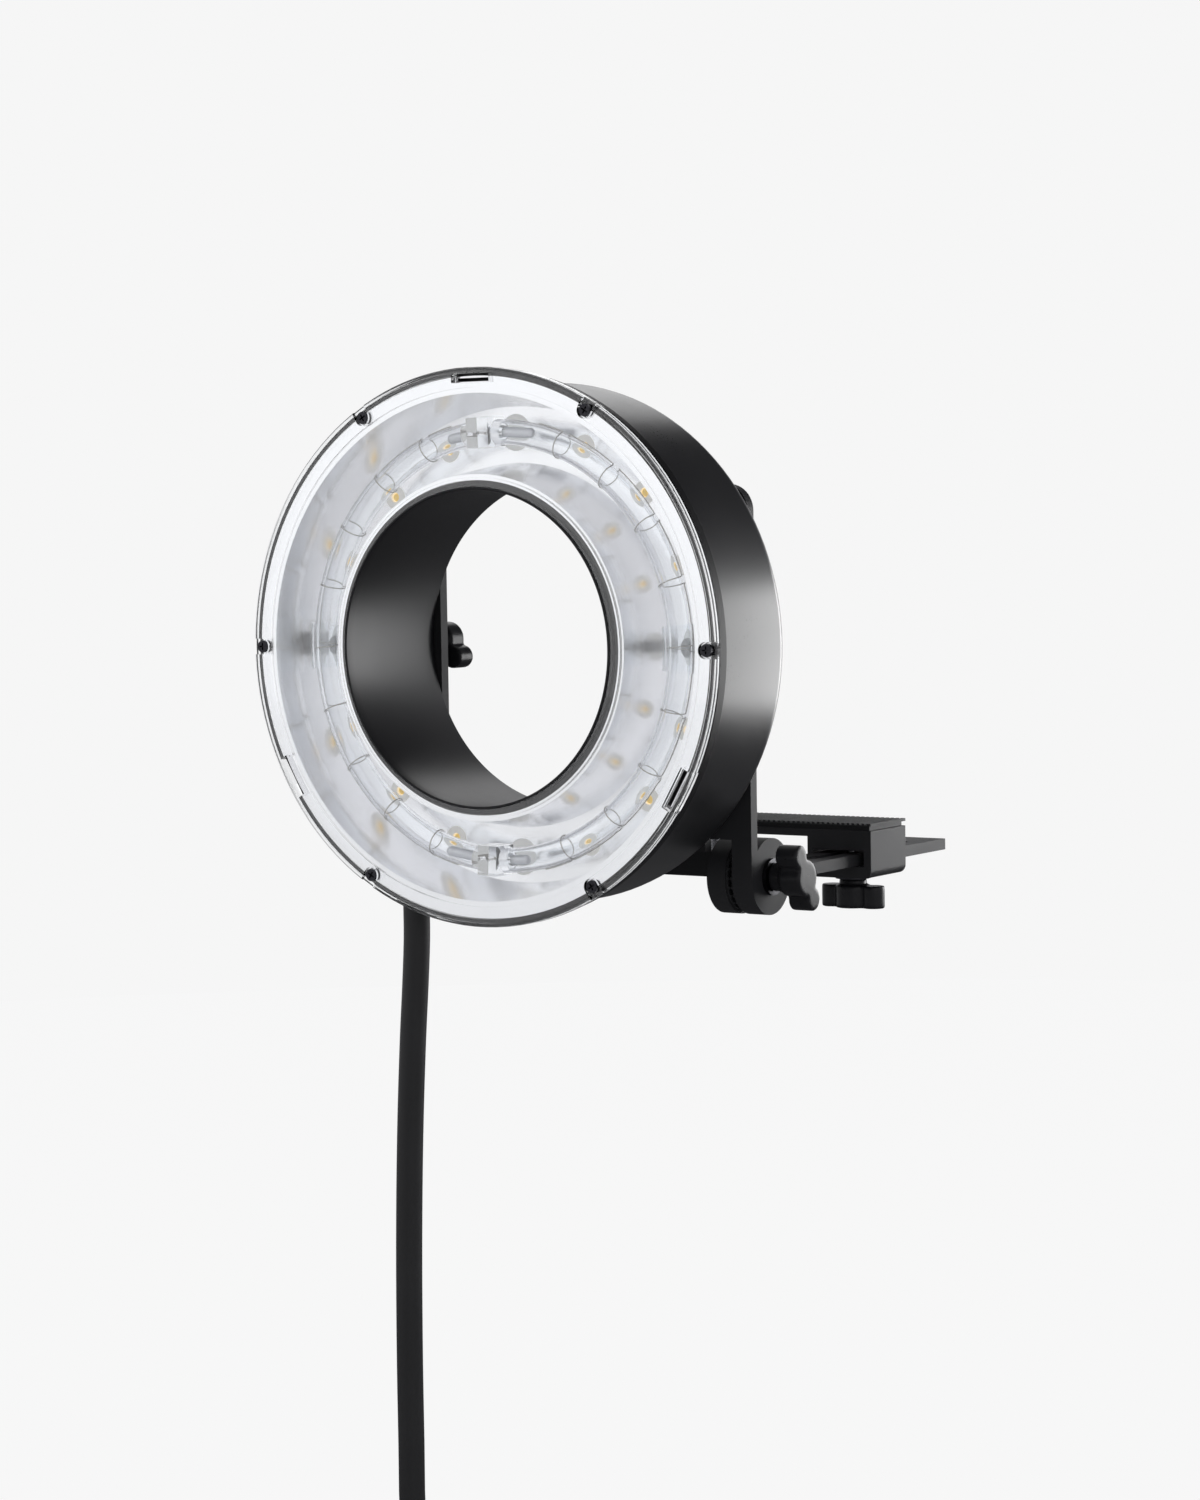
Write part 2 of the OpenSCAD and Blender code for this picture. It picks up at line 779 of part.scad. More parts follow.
module knob_inserts() {
    color("#b08d4a")
    for (angle = [0, 180])
        difference() {
            axial(angle, upright_x, head_depth - insert_len, head_depth - seat, insert_d);
            axial(
                angle, upright_x, head_depth - insert_len - 1, head_depth + 1, stud_d + 2 * run
            );
        }
}

module strain_relief() {
    tip_r = cord_d / 2 + 0.5;
    color(black)
    translate([exit_x, exit_y, exit_z])
        rotate_extrude($fn = 64)
            polygon([
                [0, 0], [tip_r, 0], [tip_r + 0.5, 0.6], [relief_d / 2, boss_drop - 1],
                [relief_d / 2, relief_len], [0, relief_len]
            ]);
}

module cord() {
    color(black) {
        skin(rings_along(route, [1, 0, 0], cord_d / 2, 10), 10);
        skin(rings_along(tail, [1, 0, 0], cord_d / 2, 10), 10);
    }
}

// Turns inward and outward in alternate layers, one layer behind the other.
function layer_of(t) = min(floor(t / layer_turns), coil_layers - 1);
function wound(t) =
    let (k = layer_of(t), part = t - k * layer_turns)
        k % 2 == 0 ? coil_r - coil_pitch * part : coil_in_r + coil_pitch * part;
function ease(x) = x < 0 ? 0 : x > 1 ? 1 : x * x * (3 - 2 * x);
function layers_climbed(t) =
    ease(2 * (t - layer_turns) + 0.5) + ease(2 * (t - 2 * layer_turns) + 0.5)
        + ease(2 * (t - 3 * layer_turns) + 0.5);
function coil_point(t) =
    let (angle = coil_start - 360 * t)
        coil_centre
            + [wound(t) * cos(angle), coil_pitch * layers_climbed(t), wound(t) * sin(angle)];

module cord_coil() {
    steps = round(coil_total * rings_per_turn);
    turning = [for (i = [0:steps]) coil_point(coil_total * i / steps)];
    lead_in = coil_lead * [-0.8, 0, 0.6];
    lead_out = coil_lead * [0, 0, -1];
    path = concat(
        [turning[0] + lead_in, turning[0] + lead_in / 2],
        turning,
        [turning[steps] + lead_out / 2, turning[steps] + lead_out]
    );
    gaps = [
        for (i = [0:2:steps], j = [i + rings_per_turn / 2:steps])
            norm(turning[i] - turning[j]) - cord_d
    ];
    lengths = [for (i = [1:len(path) - 1]) norm(path[i] - path[i - 1])];
    echo(str("least gap between turns of the coil: ", min(gaps), " mm"));
    echo(str("length of cord in the coil: ", lengths * [for (part = lengths) 1], " mm"));
    color(black) skin(rings_along(path, [0, 1, 0], cord_d / 2, 6), 6);
}

module coil_tie() {
    wide = 14;
    thick = 1.4;
    room = 0.6;
    low_r = coil_in_r - cord_d / 2 - room;
    high_r = coil_r + cord_d / 2 + room;
    front = -cord_d / 2 - room;
    back = (coil_layers - 1) * coil_pitch + cord_d / 2 + room;
    color("#3a3a3d")
    translate(coil_centre)
        at_angle(tie_angle)
            difference() {
                translate([low_r - thick, front - thick, -wide / 2])
                    cube([high_r - low_r + 2 * thick, back - front + 2 * thick, wide]);
                translate([low_r, front, -wide]) cube([high_r - low_r, back - front, 2 * wide]);
            }
}

module plug_boot() {
    color(black)
    translate(plug_top)
        rotate_extrude($fn = 48)
            polygon([
                [0, 0], [cord_d / 2 + 0.6, 0], [cord_d / 2 + 2.6, -boot_len + 4],
                [cord_d / 2 + 2.6, -boot_len], [0, -boot_len]
            ]);
}

module plug_shell() {
    corner = 4;
    shoulder = 6;
    step = 3;
    rim = 3;
    color(graphite)
    translate(plug_top - [0, 0, boot_len + plug_size.z])
        difference() {
            union() {
                plug_outline(0, plug_size.z - shoulder, corner);
                translate([0, 0, plug_size.z - shoulder]) plug_outline(step, shoulder, corner);
            }
            translate([-plug_size.x / 2 + rim, -plug_size.y / 2 + rim, -1])
                cube([plug_size.x - 2 * rim, plug_size.y - 2 * rim, 5]);
            for (side = [-1, 1], z = [12:4:28])
                translate([side * plug_size.x / 2, 0, z]) cube([1.6, 18, 1.4], center = true);
        }
}

// The plug's rounded outline, drawn in by a step and as tall as given.
module plug_outline(step, tall, corner) {
    x = plug_size.x / 2 - corner - step;
    y = plug_size.y / 2 - corner - step;
    linear_extrude(tall)
        union() {
            square([2 * x, 2 * (y + corner)], center = true);
            square([2 * (x + corner), 2 * y], center = true);
            for (sx = [-x, x], sy = [-y, y])
                translate([sx, sy]) circle(r = corner, $fn = 32);
        }
}

module plug_contacts() {
    color("#c8a64b")
    for (x = [-14:7:14])
        translate(plug_top + [x, 0, 0.6 - boot_len - plug_size.z]) cylinder(h = 3.4, d = 2.4, $fn = 24);
}

// A flat bar in the X-Z plane with a half-round top.
module upright_bar() {
    translate([upright_x, yoke_y, 0])
        rotate([90, 0, 0])
            translate([0, 0, -bar_t])
                linear_extrude(bar_t)
                    union() {
                        translate([-bar_w / 2, neck_z])
                            square([bar_w, yoke_top - bar_w / 2 - neck_z]);
                        translate([0, yoke_top - bar_w / 2]) circle(r = bar_w / 2);
                    }
}

// Radial teeth on a hinge lug, standing out along +X from x = 0.
module lug_teeth() {
    inner = stud_d / 2 + 2;
    outer = lug_r - 0.8;
    root = max(tooth_h - 0.5, 0.1);
    for (i = [0:tooth_count - 1])
        rotate([i * 360 / tooth_count, 0, 0])
            translate([0, -tooth_w / 2, inner]) cube([tooth_h, tooth_w, outer - inner]);
    rotate([0, 90, 0])
        difference() {
            cylinder(h = root, r = outer);
            translate([0, 0, -1]) cylinder(h = tooth_h + 2, d = stud_clear_d);
        }
}

module yoke_side() {
    reach = ring_travel + slot_spare;
    difference() {
        union() {
            upright_bar();
            translate([yoke_lug_x, yoke_y, hinge_z])
                cube([yoke_lug_w, bar_t, neck_z - hinge_z + 0.1]);
            translate([yoke_lug_x, hinge_y, hinge_z])
                rotate([0, 90, 0]) cylinder(h = yoke_lug_w, r = lug_r);
            translate([yoke_lug_x, hinge_y, hinge_z]) mirror([1, 0, 0]) lug_teeth();
        }
        hull()
            for (z = [-reach, reach])
                translate([upright_x, yoke_y - 1, axis_h + z])
                    rotate([-90, 0, 0]) cylinder(h = bar_t + 2, d = stud_clear_d, $fn = 32);
        translate([yoke_lug_x - tooth_h - 1, hinge_y, hinge_z])
            rotate([0, 90, 0]) cylinder(h = yoke_lug_w + tooth_h + 2, d = stud_d + 2 * run);
    }
}

module yoke() {
    inner_x = upright_x - bar_w / 2;
    color(graphite) {
        yoke_side();
        mirror([1, 0, 0]) yoke_side();
        translate([-inner_x, yoke_y, crossbar_low_z]) cube([2 * inner_x, bar_t, crossbar_h]);
    }
}

module fork_side() {
    difference() {
        union() {
            translate([fork_lug_x, hinge_y, hinge_z])
                rotate([0, 90, 0]) cylinder(h = fork_lug_w, r = lug_r);
            translate([fork_lug_out_x, hinge_y, hinge_z]) lug_teeth();
            translate([fork_lug_x, hinge_y, arm_low_z])
                cube([fork_lug_w, arm_front_y - hinge_y + 4, bar_t]);
            translate([upright_x - bar_w / 2, arm_front_y, arm_low_z])
                cube([bar_w, arm_rear_y - arm_front_y, bar_t]);
        }
        hull()
            for (y = [-travel_in - slot_spare, travel_out + slot_spare])
                translate([upright_x, y, arm_low_z - 1])
                    cylinder(h = bar_t + 2, d = stud_clear_d, $fn = 32);
        translate([fork_lug_x - 1, hinge_y, hinge_z])
            rotate([0, 90, 0]) cylinder(h = fork_lug_w + tooth_h + 2, d = stud_d + 2 * run);
    }
}

module slide_fork() {
    color(graphite) {
        fork_side();
        mirror([1, 0, 0]) fork_side();
        translate([-fork_lug_x - 1, fork_bar_y, arm_low_z])
            cube([2 * fork_lug_x + 2, fork_bar_t, fork_bar_top - arm_low_z]);
    }
}

// The camera plate's right end: a block with a channel for the slide arm.
module plate_end() {
    stud_hole = stud_d + 2 * run;
    difference() {
        translate([0, plate_d / 2, 0])
            rotate([90, 0, 0])
                linear_extrude(plate_d)
                    union() {
                        translate([block_in_x, plate_low_z + plate_round])
                            square([plate_half_w - block_in_x, plate_top_z - plate_low_z - plate_round]);
                        translate([block_in_x, plate_low_z])
                            square([plate_half_w - block_in_x - plate_round, plate_round + 0.1]);
                        translate([plate_half_w - plate_round, plate_low_z + plate_round])
                            circle(r = plate_round, $fn = 48);
                    }
        translate([channel_in_x, -plate_d, channel_low_z])
            cube([channel_out_x - channel_in_x, 2 * plate_d, channel_top_z - channel_low_z]);
        translate([upright_x, 0, plate_low_z - 1])
            cylinder(h = thread_top - plate_low_z + 2, d = stud_hole, $fn = 48);
    }
}

module camera_plate() {
    keyhole_x = screw_travel + camera_slot_w / 2 + 1;
    raised_x = plate_half_w - pad_overhang;
    raised_y = plate_d / 2 - pad_overhang;
    color(graphite)
    difference() {
        union() {
            plate_end();
            mirror([1, 0, 0]) plate_end();
            translate([-block_in_x - 1, -plate_d / 2, deck_low_z])
                cube([2 * block_in_x + 2, plate_d, plate_top_z - deck_low_z]);
            translate([-raised_x, -raised_y, plate_top_z - 0.5])
                cube([2 * raised_x, 2 * raised_y, 0.5 - plate_top_z - pad_t]);
        }
        slotted_hole(camera_slot_w, deck_low_z);
        translate([keyhole_x, 0, deck_low_z - 1]) cylinder(h = 8, d = camera_screw_d + 2 * gap);
    }
}

// A slot through the plate or the pad for the camera screw to slide along.
module slotted_hole(w, from) {
    hull()
        for (x = [-screw_travel - slot_spare, screw_travel + slot_spare])
            translate([x, 0, from - 1]) cylinder(h = 2 - from, d = w, $fn = 32);
}

module rubber_pad() {
    rib_h = 0.6;
    groove = rib_pitch / 2;
    pairs = floor((plate_half_w - groove) / rib_pitch);
    color("#18191b")
    difference() {
        translate([-plate_half_w, -plate_d / 2, -pad_t]) cube([2 * plate_half_w, plate_d, pad_t]);
        slotted_hole(pad_slot_w, -pad_t);
        for (i = [-pairs:pairs - 1])
            translate([(i + 0.5) * rib_pitch - groove / 2, -plate_d, -rib_h]) cube([groove, 2 * plate_d, 1]);
    }
}

module camera_screw() {
    grips = 36;
    color("#a7a8ab")
    difference() {
        union() {
            translate([0, 0, screw_head_top - screw_head_h]) cylinder(h = screw_head_h, d = grip_d);
            translate([0, 0, screw_head_top - 1])
                cylinder(h = 1.1 - screw_head_top, d = camera_shank_d, $fn = 64);
            cylinder(h = camera_screw_len, d = camera_screw_d, $fn = 64);
        }
        for (i = [0:grips - 1])
            rotate([0, 0, i * 360 / grips])
                translate([grip_d / 2, 0, screw_head_top - screw_head_h / 2])
                    rotate([0, 0, 45]) cube([0.8, 0.8, 2 * screw_head_h], center = true);
        translate([0, 0, screw_head_top - screw_head_h]) cube([12, 1.6, 2.6], center = true);
    }
}

module screw_washer() {
    color("#cfd0d2")
    translate([0, 0, deck_low_z - seat - screw_washer_t])
        difference() {
            cylinder(h = screw_washer_t, d = grip_d - 3);
            translate([0, 0, -1]) cylinder(h = screw_washer_t + 2, d = camera_shank_d + 2 * seat, $fn = 48);
        }
}

// A knob's two wings, hub and neck, standing up along +Z from its foot at z = 0.
module wing(neck) {
    lobe_x = (wing_len - wing_w) / 2;
    web_w = wing_w - 1.8;
    color("#1b1c1e")
    difference() {
        union() {
            cylinder(h = neck + wing_h / 2, d = neck_d, $fn = 64);
            translate([0, 0, neck]) {
                cylinder(h = wing_h, d = hub_d, $fn = 64);
                for (side = [-1, 1])
                    translate([side * lobe_x, 0, 0]) cylinder(h = wing_h, d = wing_w, $fn = 48);
                translate([-lobe_x, -web_w / 2, 0]) cube([2 * lobe_x, web_w, wing_h]);
            }
        }
        translate([0, 0, -1]) cylinder(h = neck + wing_h - 1, d = stud_d + 0.02, $fn = 48);
    }
}

// The steel screw in a knob, from inside the wings down to its tip.
module stud(neck, reach) {
    chamfer = 0.6;
    color("#8f9094")
    translate([0, 0, -reach])
        union() {
            translate([0, 0, chamfer])
                cylinder(h = reach - chamfer + neck + wing_h - 2.2, d = stud_d, $fn = 48);
            cylinder(h = chamfer + 0.1, d1 = stud_d - 2 * chamfer, d2 = stud_d, $fn = 48);
        }
}

module washer() {
    color("#6d6e72")
    difference() {
        cylinder(h = washer_t, d = washer_d, $fn = 64);
        translate([0, 0, -1]) cylinder(h = washer_t + 2, d = stud_clear_d, $fn = 48);
    }
}

// A ring knob's place: behind an upright, its screw pointing forward into the head.
module at_ring_knob(side) {
    translate([side * upright_x, yoke_y + bar_t, axis_h]) rotate([-90, 0, 0]) children();
}

// A hinge knob's place: outside a lug, its screw pointing inward.
module at_hinge_knob(side) {
    translate([side * lug_out_x, hinge_y, hinge_z]) rotate([0, side * 90, 0]) children();
}

// A clamp knob's place: below the camera plate, its screw pointing up.
module at_clamp_knob(side) {
    translate([side * upright_x, 0, plate_low_z]) rotate([180, 0, 0]) children();
}

module ring_wing(side, angle) {
    at_ring_knob(side) translate([0, 0, knob_foot]) rotate([0, 0, angle]) wing(long_neck);
}

module ring_stud(side) {
    at_ring_knob(side) translate([0, 0, knob_foot]) stud(long_neck, knob_foot + bar_t + thread_reach);
}

module hinge_wing(side, angle) {
    at_hinge_knob(side) translate([0, 0, knob_foot]) rotate([0, 0, angle]) wing(long_neck);
}

module hinge_stud(side) {
    at_hinge_knob(side) translate([0, 0, knob_foot]) stud(long_neck, knob_foot + lug_out_x - fork_lug_x - 1);
}

module clamp_wing(side, angle) {
    at_clamp_knob(side) translate([0, 0, knob_foot]) rotate([0, 0, angle]) wing(short_neck);
}

module clamp_stud(side) {
    at_clamp_knob(side) translate([0, 0, knob_foot]) stud(short_neck, knob_foot + thread_top - plate_low_z);
}

module ring_wing_left() {
    ring_wing(-1, 45);
}

module ring_wing_right() {
    ring_wing(1, -30);
}

module ring_stud_left() {
    ring_stud(-1);
}

module ring_stud_right() {
    ring_stud(1);
}

module ring_washers() {
    for (side = [-1, 1])
        at_ring_knob(side) translate([0, 0, seat]) washer();
}

module hinge_wing_left() {
    hinge_wing(-1, 60);
}

module hinge_wing_right() {
    hinge_wing(1, 30);
}

module hinge_stud_left() {
    hinge_stud(-1);
}

module hinge_stud_right() {
    hinge_stud(1);
}

module hinge_washers() {
    for (side = [-1, 1])
        at_hinge_knob(side) translate([0, 0, seat]) washer();
}

module clamp_wing_left() {
    clamp_wing(-1, 20);
}

module clamp_wing_right() {
    clamp_wing(1, 5);
}

module clamp_stud_left() {
    clamp_stud(-1);
}

module clamp_stud_right() {
    clamp_stud(1);
}

module clamp_washers() {
    for (side = [-1, 1])
        at_clamp_knob(side) translate([0, 0, seat]) washer();
}

front_cover();
cover_screws();
front_bezel();
outer_drum();
inner_barrel();
rear_cover();
rear_cover_screws();
reflector();
flash_tube_left();
flash_tube_right();
electrodes();
tube_leads();
tube_joiners();
tube_clips();
tube_legs();
trigger_wire_left();
trigger_wire_right();
lamp_board();
lamps();
lamp_rings();
board_screws();
trigger_transformer();
terminal_block();
knob_inserts();
strain_relief();
cord();
cord_coil();
coil_tie();
plug_boot();
plug_shell();
plug_contacts();
yoke();
hinge_washers();
slide_fork();
camera_plate();
rubber_pad();
clamp_washers();
screw_washer();
camera_screw();
ring_wing_left();
ring_stud_left();
ring_wing_right();
ring_stud_right();
ring_washers();
hinge_wing_left();
hinge_stud_left();
hinge_wing_right();
hinge_stud_right();
clamp_wing_left();
clamp_stud_left();
clamp_wing_right();
clamp_stud_right();
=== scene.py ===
"""A ring flash on its camera bracket: the cord, the finish of every piece, and a plain studio."""
import math

import bmesh
import bpy
from mathutils import Matrix, Vector


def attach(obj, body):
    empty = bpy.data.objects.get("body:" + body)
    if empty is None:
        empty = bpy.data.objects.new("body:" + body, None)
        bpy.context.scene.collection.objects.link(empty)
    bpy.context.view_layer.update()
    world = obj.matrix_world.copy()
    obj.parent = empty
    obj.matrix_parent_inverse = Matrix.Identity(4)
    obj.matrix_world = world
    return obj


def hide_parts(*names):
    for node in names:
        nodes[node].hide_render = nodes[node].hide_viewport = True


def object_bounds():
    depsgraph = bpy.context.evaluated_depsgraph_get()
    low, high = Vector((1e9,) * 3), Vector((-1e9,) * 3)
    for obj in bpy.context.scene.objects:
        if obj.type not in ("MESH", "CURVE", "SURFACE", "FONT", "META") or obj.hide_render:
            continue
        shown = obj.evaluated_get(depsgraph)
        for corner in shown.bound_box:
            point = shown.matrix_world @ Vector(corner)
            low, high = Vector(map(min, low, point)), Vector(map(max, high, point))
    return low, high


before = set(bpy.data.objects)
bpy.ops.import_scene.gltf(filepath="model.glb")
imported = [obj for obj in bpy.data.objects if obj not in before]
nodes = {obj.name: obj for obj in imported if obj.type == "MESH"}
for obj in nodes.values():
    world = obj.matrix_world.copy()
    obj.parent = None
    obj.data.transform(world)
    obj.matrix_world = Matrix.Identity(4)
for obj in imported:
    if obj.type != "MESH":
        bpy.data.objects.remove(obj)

MM = 0.001
CAD_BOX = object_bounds()

# Sizes that repeat the part's own, in millimetres. The trigger wire's pitch is in degrees.
FRONT_Y = -143
AXIS_Z = 66
LIGHT_RADIUS = 71.3
TUBE_DEPTH = 14.9
TUBE_WIDE = 8.4
TRIGGER_PITCH = 17
TRIGGER_TURNS = 9
TRIGGER_WIDE = 0.4
TRIGGER_ROOM = 0.05
CORD_WIDE = 9.2

# Corners of a CAD mesh closer than this, in millimetres, are one corner.
MERGE = 0.003


def linear(text):
    """Turns an sRGB hex colour into the linear colour that the shaders take."""
    parts = [int(text[i:i + 2], 16) / 255 for i in (1, 3, 5)]
    return [c / 12.92 if c <= 0.04045 else ((c + 0.055) / 1.055) ** 2.4 for c in parts] + [1.0]


def smooth_by_angle(mesh, angle=32):
    """Shades a mesh evenly, except across edges that bend by more than the angle in degrees."""
    mesh.shade_smooth()
    mesh.set_sharp_from_angle(angle=math.radians(angle))


def add_object(name, data):
    """Puts a new object with this mesh, camera or lamp into the scene."""
    made_object = bpy.data.objects.new(name, data)
    bpy.context.scene.collection.objects.link(made_object)
    return made_object


# Camera, as the photograph was taken

# Azimuth, elevation and roll in degrees. The eye, the focal length and the sensor in millimetres.
VIEW_ANGLES = (32.93, 3.80, -0.86)
EYE = (657.6, -1083.0, 108.0)
FOCAL_LENGTH = 83.48
SENSOR = 36


def place_camera():
    """Makes the camera and turns it to the photograph's viewing angle."""
    azimuth, elevation, roll = (math.radians(a) for a in VIEW_ANGLES)
    back = Vector((
        math.sin(azimuth) * math.cos(elevation),
        -math.cos(azimuth) * math.cos(elevation),
        math.sin(elevation),
    ))
    level = (-back).cross(Vector((0, 0, 1))).normalized()
    upright = level.cross(-back)
    right = math.cos(roll) * level + math.sin(roll) * upright
    up = math.cos(roll) * upright - math.sin(roll) * level
    lens = bpy.data.cameras.new("camera")
    lens.sensor_fit = "VERTICAL"
    lens.sensor_height = SENSOR
    lens.sensor_width = SENSOR
    lens.lens = FOCAL_LENGTH
    lens.clip_start = 0.05
    lens.clip_end = 50
    camera = add_object("camera", lens)
    camera.matrix_world = (
        Matrix.Translation(Vector(EYE) * MM)
        @ Matrix((right, up, back)).transposed().to_4x4()
    )
    bpy.context.scene.camera = camera


place_camera()

# The cord: the part's own route, as one smooth line

ROUTE = [
    (-46.5, -114, -24), (-46.6, -114, -36), (-47.6, -114, -52), (-49, -114, -70),
    (-50.6, -114, -96), (-51.8, -114, -124), (-52.6, -114, -154), (-53, -114, -186),
    (-53, -114, -214), (-53, -114, -238), (-51, -114, -252), (-43, -114, -268),
    (-33, -114, -278), (-25, -114, -284),
]
TAIL = [(7, -84.3, -348), (7, -84.3, -360), (7, -84.3, -372), (7, -84.3, -384)]
# The coil hangs under the cord. It starts where the cord leans 3 down to 4 across.
COIL_MIDDLE = Vector((-53, -114, -338))
COIL_RADIUS = 60
COIL_START = math.degrees(math.atan(4 / 3))
COIL_LAYERS = 4
COIL_ROOM = 0.7
COIL_PITCH = CORD_WIDE + COIL_ROOM
COIL_TURNS = 5 + COIL_START / 360
POINTS_PER_TURN = 24
CORD_SIDES = 24


def coil_points():
    """The coil winds inward and outward in turn, one layer behind the other."""
    layer = COIL_TURNS / COIL_LAYERS
    inner = COIL_RADIUS - layer * COIL_PITCH

    def ease(x):
        """Rises from 0 to 1 with a gentle start and end."""
        x = min(max(x, 0), 1)
        return x * x * (3 - 2 * x)

    steps = round(COIL_TURNS * POINTS_PER_TURN)
    points = []
    for i in range(steps + 1):
        turned = COIL_TURNS * i / steps
        number = min(math.floor(turned / layer), COIL_LAYERS - 1)
        part = turned - number * layer
        radius = COIL_RADIUS - COIL_PITCH * part if number % 2 == 0 else inner + COIL_PITCH * part
        climbed = sum(ease(2 * (turned - k * layer) + 0.5) for k in range(1, COIL_LAYERS))
        angle = math.radians(COIL_START - 360 * turned)
        points.append(COIL_MIDDLE + Vector((
            radius * math.cos(angle), COIL_PITCH * climbed, radius * math.sin(angle),
        )))
    return points


def smooth_line(points, steps):
    """A smooth curve through points in millimetres, as a longer list of points in metres."""
    knots = [Vector(p) * MM for p in points]
    padded = [2 * knots[0] - knots[1]] + knots + [2 * knots[-1] - knots[-2]]
    line = []
    for before, a, b, after in zip(padded, padded[1:], padded[2:], padded[3:]):
        for i in range(steps):
            t = i / steps
            line.append(0.5 * (
                2 * a + (b - before) * t + (2 * before - 5 * a + 4 * b - after) * t ** 2
                + (3 * a - before - 3 * b + after) * t ** 3
            ))
    return line + [knots[-1]]


def add_tube(name, line, wide, sides, body):
    """A round bar with a width in millimetres, along a line of points in metres."""
    work = bmesh.new()
    # Any slant will do to turn the first ring by, as long as the line doesn't start along it.
    across = Vector((0.31, 0.84, 0.45))
    rings = []
    for i, point in enumerate(line):
        along = (line[min(i + 1, len(line) - 1)] - line[max(i - 1, 0)]).normalized()
        across = (across - across.dot(along) * along).normalized()
        third = along.cross(across)
        rings.append([
            work.verts.new(
                point + wide / 2 * MM * (math.cos(turn) * across + math.sin(turn) * third)
            )
            for turn in (2 * math.pi * j / sides for j in range(sides))
        ])
    for near, far in zip(rings, rings[1:]):
        for j in range(sides):
            k = (j + 1) % sides
            work.faces.new((near[j], near[k], far[k], far[j]))
    work.faces.new(rings[0][::-1])
    work.faces.new(rings[-1])
    mesh = bpy.data.meshes.new(name)
    work.to_mesh(mesh)
    work.free()
    smooth_by_angle(mesh, 60)
    piece = add_object(name, mesh)
    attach(piece, body)
    return piece


cord_line = smooth_line([*ROUTE, *coil_points(), *TAIL], steps=3)
cord = add_tube("power_cord", cord_line, CORD_WIDE, CORD_SIDES, "ring")
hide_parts("cord", "cord_coil")


# Pieces with rounded edges

def merged_copy(name, flat_angle=None):
    """A copy of a CAD mesh with its corners joined, and its flat faces too if given an angle."""
    mesh = nodes[name].data.copy()
    work = bmesh.new()
    work.from_mesh(mesh)
    bmesh.ops.remove_doubles(work, verts=work.verts, dist=MERGE * MM)
    if flat_angle:
        bmesh.ops.dissolve_limit(
            work, angle_limit=math.radians(flat_angle), verts=work.verts, edges=work.edges,
        )
    work.to_mesh(mesh)
    work.free()
    return mesh


def apply_modifiers(piece):
    """Turns a piece's modifiers into its own mesh."""
    bpy.context.view_layer.update()
    graph = bpy.context.evaluated_depsgraph_get()
    shaped = bpy.data.meshes.new_from_object(piece.evaluated_get(graph))
    piece.modifiers.clear()
    piece.data = shaped


def edged(name, body, width, segments):
    """A copy of a CAD piece whose sharp edges are rounded by a width in millimetres."""
    piece = add_object(f"{name}_piece", merged_copy(name, flat_angle=0.6))
    edge = piece.modifiers.new("rounded_edges", "BEVEL")
    edge.width = width * MM
    edge.segments = segments
    edge.limit_method = "ANGLE"
    edge.angle_limit = math.radians(30)
    edge.use_clamp_overlap = True
    apply_modifiers(piece)
    smooth_by_angle(piece.data)
    # Flat faces keep one even normal up to the rounded edges.
    even = piece.modifiers.new("even_shading", "WEIGHTED_NORMAL")
    even.mode = "FACE_AREA"
    even.weight = 50
    even.keep_sharp = True
    apply_modifiers(piece)
    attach(piece, body)
    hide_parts(name)
    return piece


# A face is flat where its normal is this close to the ring's axis.
FLAT = 0.9999


def polished(name, body):
    """A copy of a clear CAD piece: curved round its rim, and truly flat on its flat faces."""
    piece = add_object(f"{name}_piece", merged_copy(name))
    smooth_by_angle(piece.data, 5)
    for face in piece.data.polygons:
        if abs(face.normal.y) > FLAT:
            face.use_smooth = False
    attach(piece, body)
    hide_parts(name)
    return piece


def moulded(name, body, voxel=0.4, passes=14):
    """A copy of a CAD piece with every edge and corner flowing, as a mould leaves them."""
    piece = add_object(f"{name}_piece", merged_copy(name))
    skin = piece.modifiers.new("even_skin", "REMESH")
    skin.mode = "VOXEL"
    skin.voxel_size = voxel * MM
    soft = piece.modifiers.new("flowing_edges", "SMOOTH")
    soft.factor = 0.5
    soft.iterations = passes
    apply_modifiers(piece)
    piece.data.shade_smooth()
    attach(piece, body)
    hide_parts(name)
    return piece


ARC_STEPS = 5


def rounded_profile(corners):
    """Turns each corner (radius, depth, rounding) of a closed profile into an arc, if rounded."""
    line = []
    for i, (x, y, rounding) in enumerate(corners):
        corner = Vector((x, y))
        arms = [
            (Vector(corners[(i + step) % len(corners)][:2]) - corner).normalized()
            for step in (-1, 1)
        ]
        if not rounding:
            line.append(corner)
            continue
        half = arms[0].angle(arms[1]) / 2
        middle = corner + (arms[0] + arms[1]).normalized() * rounding / math.sin(half)
        ends = [corner + arm * rounding / math.tan(half) - middle for arm in arms]
        turn = ends[0].angle_signed(ends[1])
        for j in range(ARC_STEPS + 1):
            spoke = ends[0].copy()
            spoke.rotate(Matrix.Rotation(-turn * j / ARC_STEPS, 2))
            line.append(middle + spoke)
    return line


